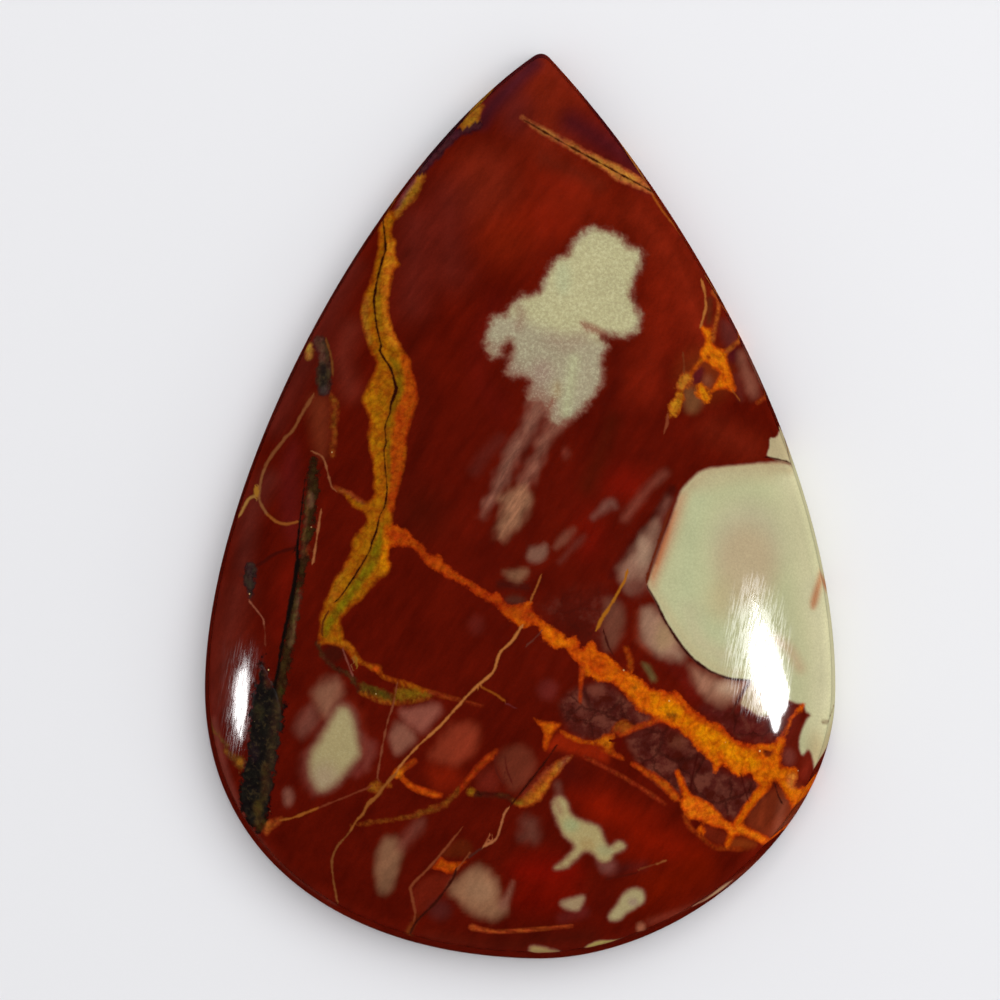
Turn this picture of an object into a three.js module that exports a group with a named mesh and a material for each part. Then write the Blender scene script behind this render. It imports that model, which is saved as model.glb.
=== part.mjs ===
// A pear-shaped cabochon of noreena jasper: one solid stone, ground flat on the back and domed in front.
// Millimetres, +Z up. The stone lies on its flat back with its tip towards +Y, and the origin is the middle
// of its bounding box, on the back.
import * as THREE from "three";

// Driving dimensions
const LENGTH = 40; // tip to base
const HEIGHT = 6.5; // back to crown
const TIP_RADIUS = 0.5;
const TIP_X = 0.25; // the tip leans a little to the right
const BASE_X = 0.8; // where the base turns lowest
const WIDEST_Y = -8.1; // height of the widest place along the length

// The stone was ground by hand, so its two sides differ. Each is two curves: the flank, from the tip to the
// widest place, and the base. The pulls are the lengths of the handles at their ends.
const RIGHT = {
  sign: 1,
  halfWidth: 13.8,
  tipHalfAngle: THREE.MathUtils.degToRad(44.5),
  tipPull: 9.9,
  flankPull: 9.6,
  shoulderPull: 6.3,
  basePull: 6.1,
};
const LEFT = {
  sign: -1,
  halfWidth: 13.9,
  tipHalfAngle: THREE.MathUtils.degToRad(53.5),
  tipPull: 8.9,
  flankPull: 9.2,
  shoulderPull: 7.3,
  basePull: 9,
};

const BACK_BEVEL = 0.4; // bevel between the back and the side, at 45 degrees
const SIDE_TOP = 2; // where the side ends and the dome begins
const SIDE_LEAN = 0.25; // how far the side leans in over its height
const CROWN = new THREE.Vector2(0, -4.5); // the dome's highest point

// The dome follows a superellipse that is cut off where it slopes at about 45 degrees.
const DOME_FLATNESS = 2.2;
const DOME_SHOULDER = 1.8;
const DOME_CUT = 0.86;
const CROWN_EGG = { halfWidth: 13.4, tipward: 18.5, baseward: 15.3 }; // the form of the rings near the crown
const EGG_FADE = 2.5; // how late they turn from that egg to the outline on the way down

// Resolution
const FLANK_STEPS = 30;
const TIP_STEPS = 6;
const BASE_STEPS = 22;
const DOME_RINGS = 20;

// The tangents of the two flanks meet above the tip's round, whose top is half the length above the middle.
const tipCentre = new THREE.Vector2(TIP_X, LENGTH / 2 - TIP_RADIUS);
const tipCorner = (() => {
  const half = (RIGHT.tipHalfAngle + LEFT.tipHalfAngle) / 2;
  const lean = (RIGHT.tipHalfAngle - LEFT.tipHalfAngle) / 2;
  const upward = new THREE.Vector2(Math.sin(lean), Math.cos(lean));
  return upward.multiplyScalar(TIP_RADIUS / Math.sin(half)).add(tipCentre);
})();

// One flank, from the widest place up to where the tip's round begins.
function flank(side) {
  const sin = Math.sin(side.tipHalfAngle);
  const cos = Math.cos(side.tipHalfAngle);
  const widest = new THREE.Vector2(side.sign * side.halfWidth, WIDEST_Y);
  const above = new THREE.Vector2(widest.x, WIDEST_Y + side.flankPull);
  const below = new THREE.Vector2(side.sign * sin, -cos)
    .multiplyScalar(side.tipPull)
    .add(tipCorner);
  const end = new THREE.Vector2(side.sign * cos, sin)
    .multiplyScalar(TIP_RADIUS)
    .add(tipCentre);
  return new THREE.CubicBezierCurve(widest, above, below, end);
}

// One half of the base, from its lowest place out to the widest place.
function baseHalf(side) {
  const bottom = -LENGTH / 2;
  const widestX = side.sign * side.halfWidth;
  return new THREE.CubicBezierCurve(
    new THREE.Vector2(BASE_X, bottom),
    new THREE.Vector2(BASE_X + side.sign * side.basePull, bottom),
    new THREE.Vector2(widestX, WIDEST_Y - side.shoulderPull),
    new THREE.Vector2(widestX, WIDEST_Y),
  );
}

// The outline seen from above, anticlockwise from the lowest place of the base.
function outlinePoints() {
  const tip = new THREE.EllipseCurve(
    tipCentre.x,
    tipCentre.y,
    TIP_RADIUS,
    TIP_RADIUS,
    RIGHT.tipHalfAngle,
    Math.PI - LEFT.tipHalfAngle,
  );
  return [
    ...baseHalf(RIGHT).getPoints(BASE_STEPS).slice(0, -1),
    ...flank(RIGHT).getPoints(FLANK_STEPS).slice(0, -1),
    ...tip.getPoints(TIP_STEPS),
    ...flank(LEFT).getPoints(FLANK_STEPS).reverse().slice(1),
    ...baseHalf(LEFT).getPoints(BASE_STEPS).reverse().slice(1, -1),
  ];
}

// Height of the dome above its foot, from 1 at the crown (share 0) to 0 at the top of the side (share 1).
function domeRise(share) {
  const curve = (s) =>
    Math.pow(1 - Math.pow(DOME_CUT * s, DOME_FLATNESS), 1 / DOME_SHOULDER);
  return (curve(share) - curve(1)) / (1 - curve(1));
}

// How much of the outline's reach is left where the edge is set back by a distance.
function inset(distance) {
  return 1 - distance / RIGHT.halfWidth;
}

// The stone's half section as (share of the outline's reach, height), from the back's middle to the crown.
function sectionPoints() {
  const points = [
    new THREE.Vector2(0, 0),
    new THREE.Vector2(inset(BACK_BEVEL), 0),
    new THREE.Vector2(1, BACK_BEVEL),
  ];
  for (let ring = DOME_RINGS; ring >= 0; ring--) {
    const share = Math.sin((ring / DOME_RINGS) * (Math.PI / 2));
    const height = SIDE_TOP + (HEIGHT - SIDE_TOP) * domeRise(share);
    points.push(new THREE.Vector2(inset(SIDE_LEAN) * share, height));
  }
  return points;
}

// The plan point at a share of the way from the crown to a point of the outline: it lies on the pear at the
// dome's foot and below it, and on an ever rounder egg towards the crown.
function ringPoint(edge, share, onDome) {
  const spoke = edge.clone().sub(CROWN);
  const pear = onDome ? Math.pow(share / inset(SIDE_LEAN), EGG_FADE) : 1;
  const halfLength = spoke.y > 0 ? CROWN_EGG.tipward : CROWN_EGG.baseward;
  const eggScale = 1 / Math.hypot(spoke.x / CROWN_EGG.halfWidth, spoke.y / halfLength);
  return spoke.multiplyScalar(share * (pear + (1 - pear) * eggScale)).add(CROWN);
}

// A turned body with the stone's section, whose round rings are drawn out to the pear.
function stoneGeometry() {
  const outline = outlinePoints();
  const section = sectionPoints();
  const geometry = new THREE.LatheGeometry(section, outline.length);
  const position = geometry.attributes.position;
  for (let i = 0; i < position.count; i++) {
    const spokeNumber = Math.floor(i / section.length) % outline.length;
    const { x: share, y: height } = section[i % section.length];
    const place = ringPoint(outline[spokeNumber], share, height >= SIDE_TOP);
    position.setXYZ(i, place.x, place.y, height);
  }
  geometry.computeVertexNormals();
  return geometry;
}

// Polished jasper: brick red to maroon, with ochre veins and pale sage fragments that are colour alone.
const jasper = new THREE.MeshStandardMaterial({
  color: 0x6a1a10,
  roughness: 0.12,
  metalness: 0,
});

const cabochon = new THREE.Mesh(stoneGeometry(), jasper);
cabochon.name = "cabochon";

// The middle of the stone's own box goes to the origin, because its two sides differ.
cabochon.geometry.computeBoundingBox();
const middle = cabochon.geometry.boundingBox.getCenter(new THREE.Vector3());
cabochon.position.set(-middle.x, -middle.y, 0);

const stone = new THREE.Group();
stone.add(cabochon);

export default stone;
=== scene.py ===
import math

import bpy
import numpy as np
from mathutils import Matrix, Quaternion, Vector


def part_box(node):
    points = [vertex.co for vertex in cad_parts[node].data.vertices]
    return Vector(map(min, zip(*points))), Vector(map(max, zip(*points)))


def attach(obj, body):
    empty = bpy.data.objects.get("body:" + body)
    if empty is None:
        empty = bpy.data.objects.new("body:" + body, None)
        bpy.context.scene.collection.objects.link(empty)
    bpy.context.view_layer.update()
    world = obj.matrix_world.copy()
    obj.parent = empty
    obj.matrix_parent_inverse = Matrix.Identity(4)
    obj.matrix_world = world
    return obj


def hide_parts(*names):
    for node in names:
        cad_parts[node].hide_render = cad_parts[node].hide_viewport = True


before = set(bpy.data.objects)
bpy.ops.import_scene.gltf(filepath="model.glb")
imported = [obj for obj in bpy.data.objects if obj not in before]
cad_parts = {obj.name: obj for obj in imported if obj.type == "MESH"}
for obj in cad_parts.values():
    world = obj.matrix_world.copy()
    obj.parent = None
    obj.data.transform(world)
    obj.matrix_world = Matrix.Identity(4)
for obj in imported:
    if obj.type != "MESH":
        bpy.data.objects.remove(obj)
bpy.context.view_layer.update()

MM = 0.001  # lengths below are in millimetres, and Blender's unit is the metre

# The stone's form: the same named values as the solid's, in its plan frame before it is centred
HALF_LENGTH = 20
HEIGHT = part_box("cabochon")[1][2] / MM
TIP_RADIUS = 0.5
TIP_CENTRE = np.array([0.25, HALF_LENGTH - TIP_RADIUS])
BASE_X = 0.8
WIDEST_Y = -8.1
RIGHT = dict(
    sign=1, half_width=13.8, tip_angle=44.5, tip_pull=9.9, flank_pull=9.6, shoulder_pull=6.3, base_pull=6.1,
)
LEFT = dict(
    sign=-1, half_width=13.9, tip_angle=53.5, tip_pull=8.9, flank_pull=9.2, shoulder_pull=7.3, base_pull=9,
)
SIDE_TOP = 2  # where the side ends and the dome begins
SIDE_LEAN = 0.25  # how far the side leans in over its height
CROWN = (0, -4.5)
DOME_FLATNESS = 2.2
DOME_SHOULDER = 1.8
DOME_CUT = 0.86
CROWN_EGG = dict(half_width=13.4, tipward=18.5, baseward=15.3)
EGG_FADE = 2.5

# The side from the dome's foot to the back, as (how far it is set back from the outline, height)
SIDE_PROFILE = [
    (0.235, 1.9), (0.18, 1.5), (0.12, 1.15), (0.06, 0.8), (0.01, 0.5), (0, 0.42),
    (0.03, 0.35), (0.2, 0.18), (0.37, 0.03), (0.42, 0),
]
BACK_EDGE = 0.6  # where the back's own grid begins

# Resolution
DOME_RINGS = 128  # cells from the middle of the dome to its foot, about 0.1 mm each
GRID_CENTRE = (0, -1)
CURVE_STEPS = 400
TIP_STEPS = 80
HALVINGS = 40  # halving steps that find a point's share of the dome

# The photograph: where the camera stood, and how its 1000 pixels map to the stone
PICTURE = 1000
PIXELS_PER_MM = 22.67
CAMERA_AZIMUTH = 1.3
CAMERA_ELEVATION = 85
CAMERA_DISTANCE = 300
AIM = (-1.07, 0.15)  # the point of the plan, in millimetres, that lies in the middle of the picture
SENSOR = 36


def linear(code):
    """An sRGB hex colour as linear red, green and blue."""
    c = np.array([int(code[i:i + 2], 16) / 255 for i in (0, 2, 4)])
    return np.where(c <= 0.04045, c / 12.92, ((c + 0.055) / 1.055) ** 2.4)


def bezier(points):
    """Points of a cubic curve: (1-t)^3 a + 3(1-t)^2 t b + 3(1-t) t^2 c + t^3 d."""
    t = np.linspace(0, 1, CURVE_STEPS, endpoint=False)[:, None]
    a, b, c, d = (np.array(p, float) for p in points)
    return (1 - t) ** 3 * a + 3 * (1 - t) ** 2 * t * b + 3 * (1 - t) * t * t * c + t**3 * d


def side_curves(side, other):
    """One side of the outline from the tip's round down to the lowest place: the flank, then the base. The
    tangents of the two flanks meet above the tip's round."""
    angle, other_angle = math.radians(side["tip_angle"]), math.radians(other["tip_angle"])
    sign = side["sign"]
    lean = sign * (angle - other_angle) / 2
    upward = np.array([math.sin(lean), math.cos(lean)])
    corner = TIP_CENTRE + upward * TIP_RADIUS / math.sin((angle + other_angle) / 2)
    start = TIP_CENTRE + TIP_RADIUS * np.array([sign * math.cos(angle), math.sin(angle)])
    below = corner + side["tip_pull"] * np.array([sign * math.sin(angle), -math.cos(angle)])
    widest = (sign * side["half_width"], WIDEST_Y)
    flank = [start, below, (widest[0], WIDEST_Y + side["flank_pull"]), widest]
    base = [
        widest,
        (widest[0], WIDEST_Y - side["shoulder_pull"]),
        (BASE_X + sign * side["base_pull"], -HALF_LENGTH),
        (BASE_X, -HALF_LENGTH),
    ]
    return np.vstack([bezier(flank), bezier(base)])


def pear_outline():
    """The outline seen from above, anticlockwise from the middle of the tip's round, and the crown, both
    about the middle of the outline's own box."""
    first, last = math.radians(RIGHT["tip_angle"]), math.pi - math.radians(LEFT["tip_angle"])
    angles = np.linspace(first, last, TIP_STEPS + 1)
    arc = TIP_CENTRE + TIP_RADIUS * np.stack([np.cos(angles), np.sin(angles)], 1)
    middle = TIP_STEPS // 2
    down, up = side_curves(LEFT, RIGHT), side_curves(RIGHT, LEFT)[::-1]
    points = np.vstack([arc[middle:-1], down, [(BASE_X, -HALF_LENGTH)], up, arc[1:middle + 1]])
    box_middle = (points.min(0) + points.max(0)) / 2
    return points - box_middle, np.array(CROWN) - box_middle


OUTLINE, CROWN_PLACE = pear_outline()
travelled = np.concatenate([[0], np.cumsum(np.hypot(*np.diff(OUTLINE, axis=0).T))])
OUTLINE_SHARE = travelled / travelled[-1]


def inset_share(distance):
    """How much of the outline's reach is left where the edge is set back by a distance."""
    return 1 - distance / RIGHT["half_width"]


def ring_at(share, inset):
    """The outline's point at a share of its length from the tip, anticlockwise, drawn in towards the crown by
    an inset."""
    edge = np.stack([np.interp(share, OUTLINE_SHARE, OUTLINE[:, k]) for k in (0, 1)], -1)
    return CROWN_PLACE + (edge - CROWN_PLACE) * inset_share(inset)


def dome_share(plan):
    """How far each plan point is from the crown (0) to the dome's foot (1).

    A ring of share s reaches s * (w * pear + (1 - w) * egg) from the crown, with w = s ^ EGG_FADE, where pear
    and egg are the reaches of the outline and of the crown's egg. Halving steps find s."""
    spoke = plan - CROWN_PLACE
    reach = np.hypot(*spoke.T)
    edge = OUTLINE - CROWN_PLACE
    edge_angle = np.unwrap(np.arctan2(edge[:, 1], edge[:, 0]))
    angle = np.arctan2(spoke[:, 1], spoke[:, 0])
    angle = edge_angle[0] + np.mod(angle - edge_angle[0], 2 * math.pi)
    pear = np.interp(angle, edge_angle, np.hypot(*edge.T))
    half_length = np.where(spoke[:, 1] > 0, CROWN_EGG["tipward"], CROWN_EGG["baseward"])
    egg = 1 / np.hypot(np.cos(angle) / CROWN_EGG["half_width"], np.sin(angle) / half_length)
    foot = inset_share(SIDE_LEAN)
    low, high = np.zeros(len(plan)), np.ones(len(plan))
    for _ in range(HALVINGS):
        share = (low + high) / 2
        weight = share**EGG_FADE
        inner = foot * share * (weight * pear + (1 - weight) * egg) < reach
        low, high = np.where(inner, share, low), np.where(inner, high, share)
    return (low + high) / 2


def dome_height(plan):
    """Height of the dome: a superellipse (1 - (c s)^p)^(1/q), cut off at the foot and stretched to the
    crown."""
    share = np.append(dome_share(plan), 1)
    curve = (1 - (DOME_CUT * share) ** DOME_FLATNESS) ** (1 / DOME_SHOULDER)
    rise = (curve[:-1] - curve[-1]) / (1 - curve[-1])
    return SIDE_TOP + (HEIGHT - SIDE_TOP) * rise


def square_rings(rings):
    """A square grid as rings about its middle: each vertex's ring, from 0 to 1, and its place along the ring,
    from 0 to 1 anticlockwise from the corner that comes to lie in the tip. The four sides of a ring take an
    even quarter each."""
    side = np.arange(-rings, rings + 1)
    i, j = np.meshgrid(side, side, indexing="ij")
    k = np.maximum(np.abs(i), np.abs(j))
    k1 = np.maximum(k, 1)
    place = np.select(
        [(j == k) & (i > -k), (i == -k) & (j > -k), (j == -k) & (i < k)],
        [(k - i) / k1, 2 + (k - j) / k1, 4 + (i + k) / k1],
        6 + (j + k) / k1,
    )
    return k.ravel() / rings, np.mod(place.ravel() / 8, 1)


def square_faces(rings):
    """Two triangles for each cell of the square grid, split towards the middle."""
    n = 2 * rings + 1
    i, j = (a.ravel() for a in np.meshgrid(np.arange(n - 1), np.arange(n - 1), indexing="ij"))
    a, b, c, d = i * n + j, (i + 1) * n + j, (i + 1) * n + j + 1, i * n + j + 1
    along = ((i < rings) == (j < rings))[:, None]
    first = np.where(along, np.stack([a, b, c], 1), np.stack([a, b, d], 1))
    second = np.where(along, np.stack([a, c, d], 1), np.stack([b, c, d], 1))
    return np.vstack([first, second])


def square_rim(rings):
    """The grid's outermost vertices in order, anticlockwise from the tip."""
    n = 2 * rings + 1
    k = np.arange(2 * rings)
    top = (n - 1 - k) * n + (n - 1)
    left = n - 1 - k
    bottom = k * n
    right = (n - 1) * n + k
    return np.concatenate([top, left, bottom, right])


def stone_mesh():
    """All of the stone's vertices in millimetres and its triangles, before any relief.

    The dome is a square grid whose rings are drawn out to the dome's foot. The side is the profile carried
    along the outline. The back is a grid of half the resolution, joined by a ring of threes."""
    centre = np.array(GRID_CENTRE, float)
    ring, place = square_rings(DOME_RINGS)
    plan = centre + ring[:, None] * (ring_at(place, SIDE_LEAN) - centre)
    parts = [np.column_stack([plan, dome_height(plan)])]
    faces = [square_faces(DOME_RINGS)]
    count = len(plan)
    previous = square_rim(DOME_RINGS)
    spokes = len(previous)
    share = np.arange(spokes) / spokes
    for inset, height in SIDE_PROFILE:
        parts.append(np.column_stack([ring_at(share, inset), np.full(spokes, height)]))
        ring_index = count + np.arange(spokes)
        count += spokes
        a, b = previous, np.roll(previous, -1)
        c, d = np.roll(ring_index, -1), ring_index
        faces += [np.stack([a, d, c], 1), np.stack([a, c, b], 1)]
        previous = ring_index

    half = DOME_RINGS // 2
    ring, place = square_rings(half)
    plan = centre + ring[:, None] * (ring_at(place, BACK_EDGE) - centre)
    parts.append(np.column_stack([plan, np.zeros(len(plan))]))
    faces.append(count + square_faces(half)[:, ::-1])
    rim = count + square_rim(half)
    outer, between, onward = previous[0::2], previous[1::2], np.roll(previous[0::2], -1)
    rim_next = np.roll(rim, -1)
    faces += [
        np.stack([outer, rim, between], 1),
        np.stack([between, rim, rim_next], 1),
        np.stack([between, rim_next, onward], 1),
    ]
    return np.vstack(parts), np.vstack(faces)


def camera_frame():
    """The camera's place in millimetres, and its right, up and backward directions."""
    azimuth, elevation = math.radians(CAMERA_AZIMUTH), math.radians(CAMERA_ELEVATION)
    level = math.cos(elevation)
    back = np.array([math.sin(azimuth) * level, -math.cos(azimuth) * level, math.sin(elevation)])
    right = np.array([math.cos(azimuth), math.sin(azimuth), 0])
    return np.array([*AIM, 0]) + CAMERA_DISTANCE * back, right, np.cross(back, right), back


def picture_place(points):
    """Where each point of the stone, in millimetres, lies in the photograph, in pixels."""
    eye, right, up, back = camera_frame()
    seen = points - eye
    depth = -seen @ back
    pixels = PIXELS_PER_MM * CAMERA_DISTANCE / depth
    return np.stack([PICTURE / 2 + seen @ right * pixels, PICTURE / 2 - seen @ up * pixels], 1)


def make_object(name, points, faces):
    """A mesh object at the origin from points in millimetres and triangles."""
    mesh = bpy.data.meshes.new(name)
    mesh.from_pydata((points * MM).tolist(), [], faces.tolist())
    mesh.polygons.foreach_set("use_smooth", np.ones(len(faces), bool))
    mesh.update()
    piece = bpy.data.objects.new(name, mesh)
    bpy.context.scene.collection.objects.link(piece)
    return piece


# The markings. Places are pixels of the photograph, read off it, and so are the half widths of lines; the
# softness and raggedness of edges are millimetres. Strength is how much of the colour shows, up to 1.
def area(*points):
    """A patch with a smooth outline through some points."""
    return dict(points=points, closed=True)


def oval(x, y, wide, high):
    """An elliptic patch about a place, with its two radii."""
    angles = [k * math.pi / 4 for k in range(8)]
    return area(*[(x + wide * math.cos(a), y + high * math.sin(a)) for a in angles])


def taper(*points):
    """A smooth line through some points, each with its own half width."""
    return dict(points=points, closed=False)


def line(half, *points):
    """A smooth line of one half width through some points."""
    return taper(*[(*p, half) for p in points])


# Tones of the ground: (colour, softness, strength, shape)
GROUND = "540d03"
TONES = [
    # the tip
    # painted reflection: a lighter brown veil over the tip, laid into the ground's colour
    ("721e0d", 1.6, 0.9, oval(545, 105, 34, 50)),
    ("731a08", 2.0, 0.9, oval(565, 200, 50, 34)),
    ("7c1a08", 0.8, 0.7, oval(560, 185, 24, 16)),
    ("7a1806", 0.8, 0.7, oval(535, 222, 40, 18)),
    ("7d200d", 1.4, 0.85, line(12, (640, 215), (680, 270), (700, 330))),
    ("5c1c18", 0.8, 0.7, oval(515, 110, 14, 20)),
    ("431014", 0.6, 0.95, line(10, (572, 122), (630, 160), (648, 178))),
    ("40131a", 0.35, 0.9, line(7, (534, 64), (494, 104), (482, 122))),
    ("5c1a0c", 0.5, 0.7, line(6, (545, 160), (575, 172), (600, 185))),
    ("74200f", 1.0, 0.8, oval(484, 184, 32, 38)),
    ("611d14", 1.4, 0.8, line(14, (448, 200), (450, 270))),
    ("651f16", 1.0, 0.7, line(14, (415, 225), (412, 305))),
    ("741b07", 1.2, 0.7, oval(505, 240, 26, 24)),
    ("7a1b09", 1.2, 0.8, line(14, (662, 290), (656, 340), (644, 385))),
    # the upper middle
    ("4a0c04", 0.5, 0.9, line(5, (606, 338), (618, 372), (604, 402))),
    ("580e06", 0.7, 0.8, line(8, (496, 300), (478, 340), (480, 380), (500, 410))),
    ("3c0c04", 1.2, 0.7, oval(420, 515, 26, 28)),
    ("480c04", 0.8, 0.8, line(8, (410, 335), (425, 400), (412, 480))),
    ("6e0f04", 0.8, 0.8, oval(588, 535, 14, 22)),
    ("700f04", 0.8, 0.8, oval(626, 485, 18, 16)),
    ("461004", 0.5, 0.8, line(7, (612, 420), (600, 455), (588, 485))),
    ("45120a", 0.15, 0.8, taper((530, 440, 2), (526, 450, 4), (522, 460, 3))),
    ("5a2018", 0.3, 0.6, line(6, (500, 440), (485, 455), (475, 470))),
    ("3c100a", 0.15, 0.8, line(4, (500, 584), (526, 587))),
    # the right margin
    ("742d10", 0.8, 0.7, oval(705, 375, 24, 22)),
    ("681a0b", 0.9, 0.8, line(12, (715, 430), (750, 448))),
    ("5c2620", 0.25, 0.8, area((722, 320), (735, 328), (737, 343), (728, 347), (721, 335))),
    ("4a1218", 0.2, 0.8, oval(733, 355, 5, 7)),
    ("5c2018", 0.15, 0.8, line(3, (737, 376), (741, 399))),
    ("7a4028", 0.22, 0.8, oval(707, 381, 5, 6)),
    ("4a1016", 0.15, 0.9, area((690, 380), (698, 368), (704, 370), (700, 384))),
    ("6a4024", 0.25, 0.9, area((684, 388), (700, 392), (702, 402), (696, 412), (686, 410))),
    ("522410", 0.15, 0.8, line(2.5, (710, 300), (709, 322))),
    ("3c0c06", 0.12, 0.9, line(5, (672, 490), (664, 505), (655, 518))),
    ("440c06", 0.12, 0.8, line(5, (645, 530), (625, 555), (612, 575))),
    # the left margin
    ("6e261a", 0.7, 0.8, line(8, (350, 330), (342, 360), (350, 390))),
    ("6c2814", 0.4, 0.9, area((310, 398), (330, 400), (328, 452), (318, 455), (311, 430))),
    ("5c1410", 0.4, 0.8, area((296, 440), (280, 470), (282, 520), (296, 545), (300, 500))),
    ("640f04", 0.5, 0.9, area((295, 560), (280, 580), (272, 620), (280, 640), (290, 600))),
    ("5a2018", 0.5, 0.8, line(9, (268, 480), (251, 515), (243, 565))),
    # painted reflection: a lighter brown band along the left rim
    ("66241a", 0.9, 0.8, line(10, (238, 590), (228, 640), (222, 700))),
    ("5a1c14", 0.7, 0.8, line(9, (352, 268), (275, 425))),
    # the lower left
    ("3c1008", 0.2, 0.9, oval(333, 654, 11, 9)),
    ("7c1a06", 0.5, 0.9, area((428, 768), (450, 764), (462, 778), (452, 792), (434, 790))),
    ("5a1c08", 0.15, 0.9, area((441, 856), (448, 846), (462, 839), (472, 846), (468, 856))),
    ("661a0c", 0.15, 0.9, area((412, 892), (430, 876), (452, 876), (444, 892), (418, 915))),
    ("4a1c18", 0.3, 0.8, oval(440, 910, 11, 10)),
    ("480c06", 0.6, 0.8, line(9, (565, 765), (582, 795))),
    # the bottom and the lower right
    ("7c1402", 0.9, 0.95, area(
        (575, 792), (620, 800), (700, 850), (680, 862), (630, 855), (625, 840), (580, 812))),
    ("780c02", 0.8, 0.8, oval(545, 872, 34, 16)),
    ("6f0c01", 0.8, 0.8, oval(545, 898, 34, 14)),
    ("6b1200", 0.9, 0.8, line(16, (640, 900), (700, 868))),
    ("5e1c18", 0.25, 0.8, line(5, (562, 918), (584, 912))),
    # painted shade: a darker band along the bottom edge
    ("4c1208", 0.6, 0.8, line(6, (430, 938), (500, 944), (590, 936))),
    ("6e2812", 0.3, 0.9, area(
        (748, 808), (770, 790), (800, 785), (800, 810), (785, 832), (768, 838), (748, 826))),
    ("8a3418", 0.15, 0.7, line(2, (764, 800), (760, 824))),
    ("7a3a26", 0.2, 0.8, line(4, (783, 802), (776, 835))),
    ("5a1408", 0.2, 0.9, area((786, 716), (798, 712), (802, 735), (796, 768), (784, 766))),
    ("6a3026", 0.2, 0.8, oval(789, 757, 6, 8)),
    ("701e10", 0.25, 0.9, line(5, (810, 746), (804, 775))),
    ("7a300e", 0.15, 0.9, area((733, 838), (750, 840), (756, 845), (742, 849), (730, 847))),
    ("641c0c", 0.12, 0.9, area((706, 826), (727, 834), (726, 841), (720, 845), (704, 835))),
    ("861e06", 0.2, 0.95, area(
        (553, 738), (565, 733), (596, 744), (608, 752), (608, 762), (598, 760), (560, 750), (548, 750))),
    ("56201a", 0.3, 0.7, oval(613, 608, 9, 12)),
    ("5a1008", 0.2, 0.9, area((672, 652), (684, 662), (700, 696), (690, 700), (678, 680), (664, 664))),
    # painted reflection: paler bands on the side at the lower right and the lower left
    ("7a3222", 0.25, 0.7, line(2.5, (806, 828), (772, 864), (700, 905), (650, 922))),
    ("70342a", 0.2, 0.7, line(3, (213, 720), (226, 775), (250, 830), (285, 875), (330, 908))),
]

# Brecciated ground, mottled with faint cells: (colour, softness, strength, shape)
MOTTLES = [
    ("4c1a14", 0.25, 1, area(
        (562, 700), (604, 684), (628, 702), (655, 722), (628, 729), (618, 727), (600, 738), (572, 732))),
    ("4c1a14", 0.25, 1, area(
        (628, 735), (670, 728), (725, 772), (765, 786), (745, 812), (724, 816), (695, 796), (672, 792),
        (645, 770))),
    ("4e1814", 0.35, 0.9, area(
        (700, 708), (722, 706), (775, 722), (783, 716), (778, 736), (745, 740), (718, 722))),
    ("4c1812", 0.6, 0.4, area((545, 604), (600, 588), (604, 610), (600, 650), (562, 628))),
]

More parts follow.
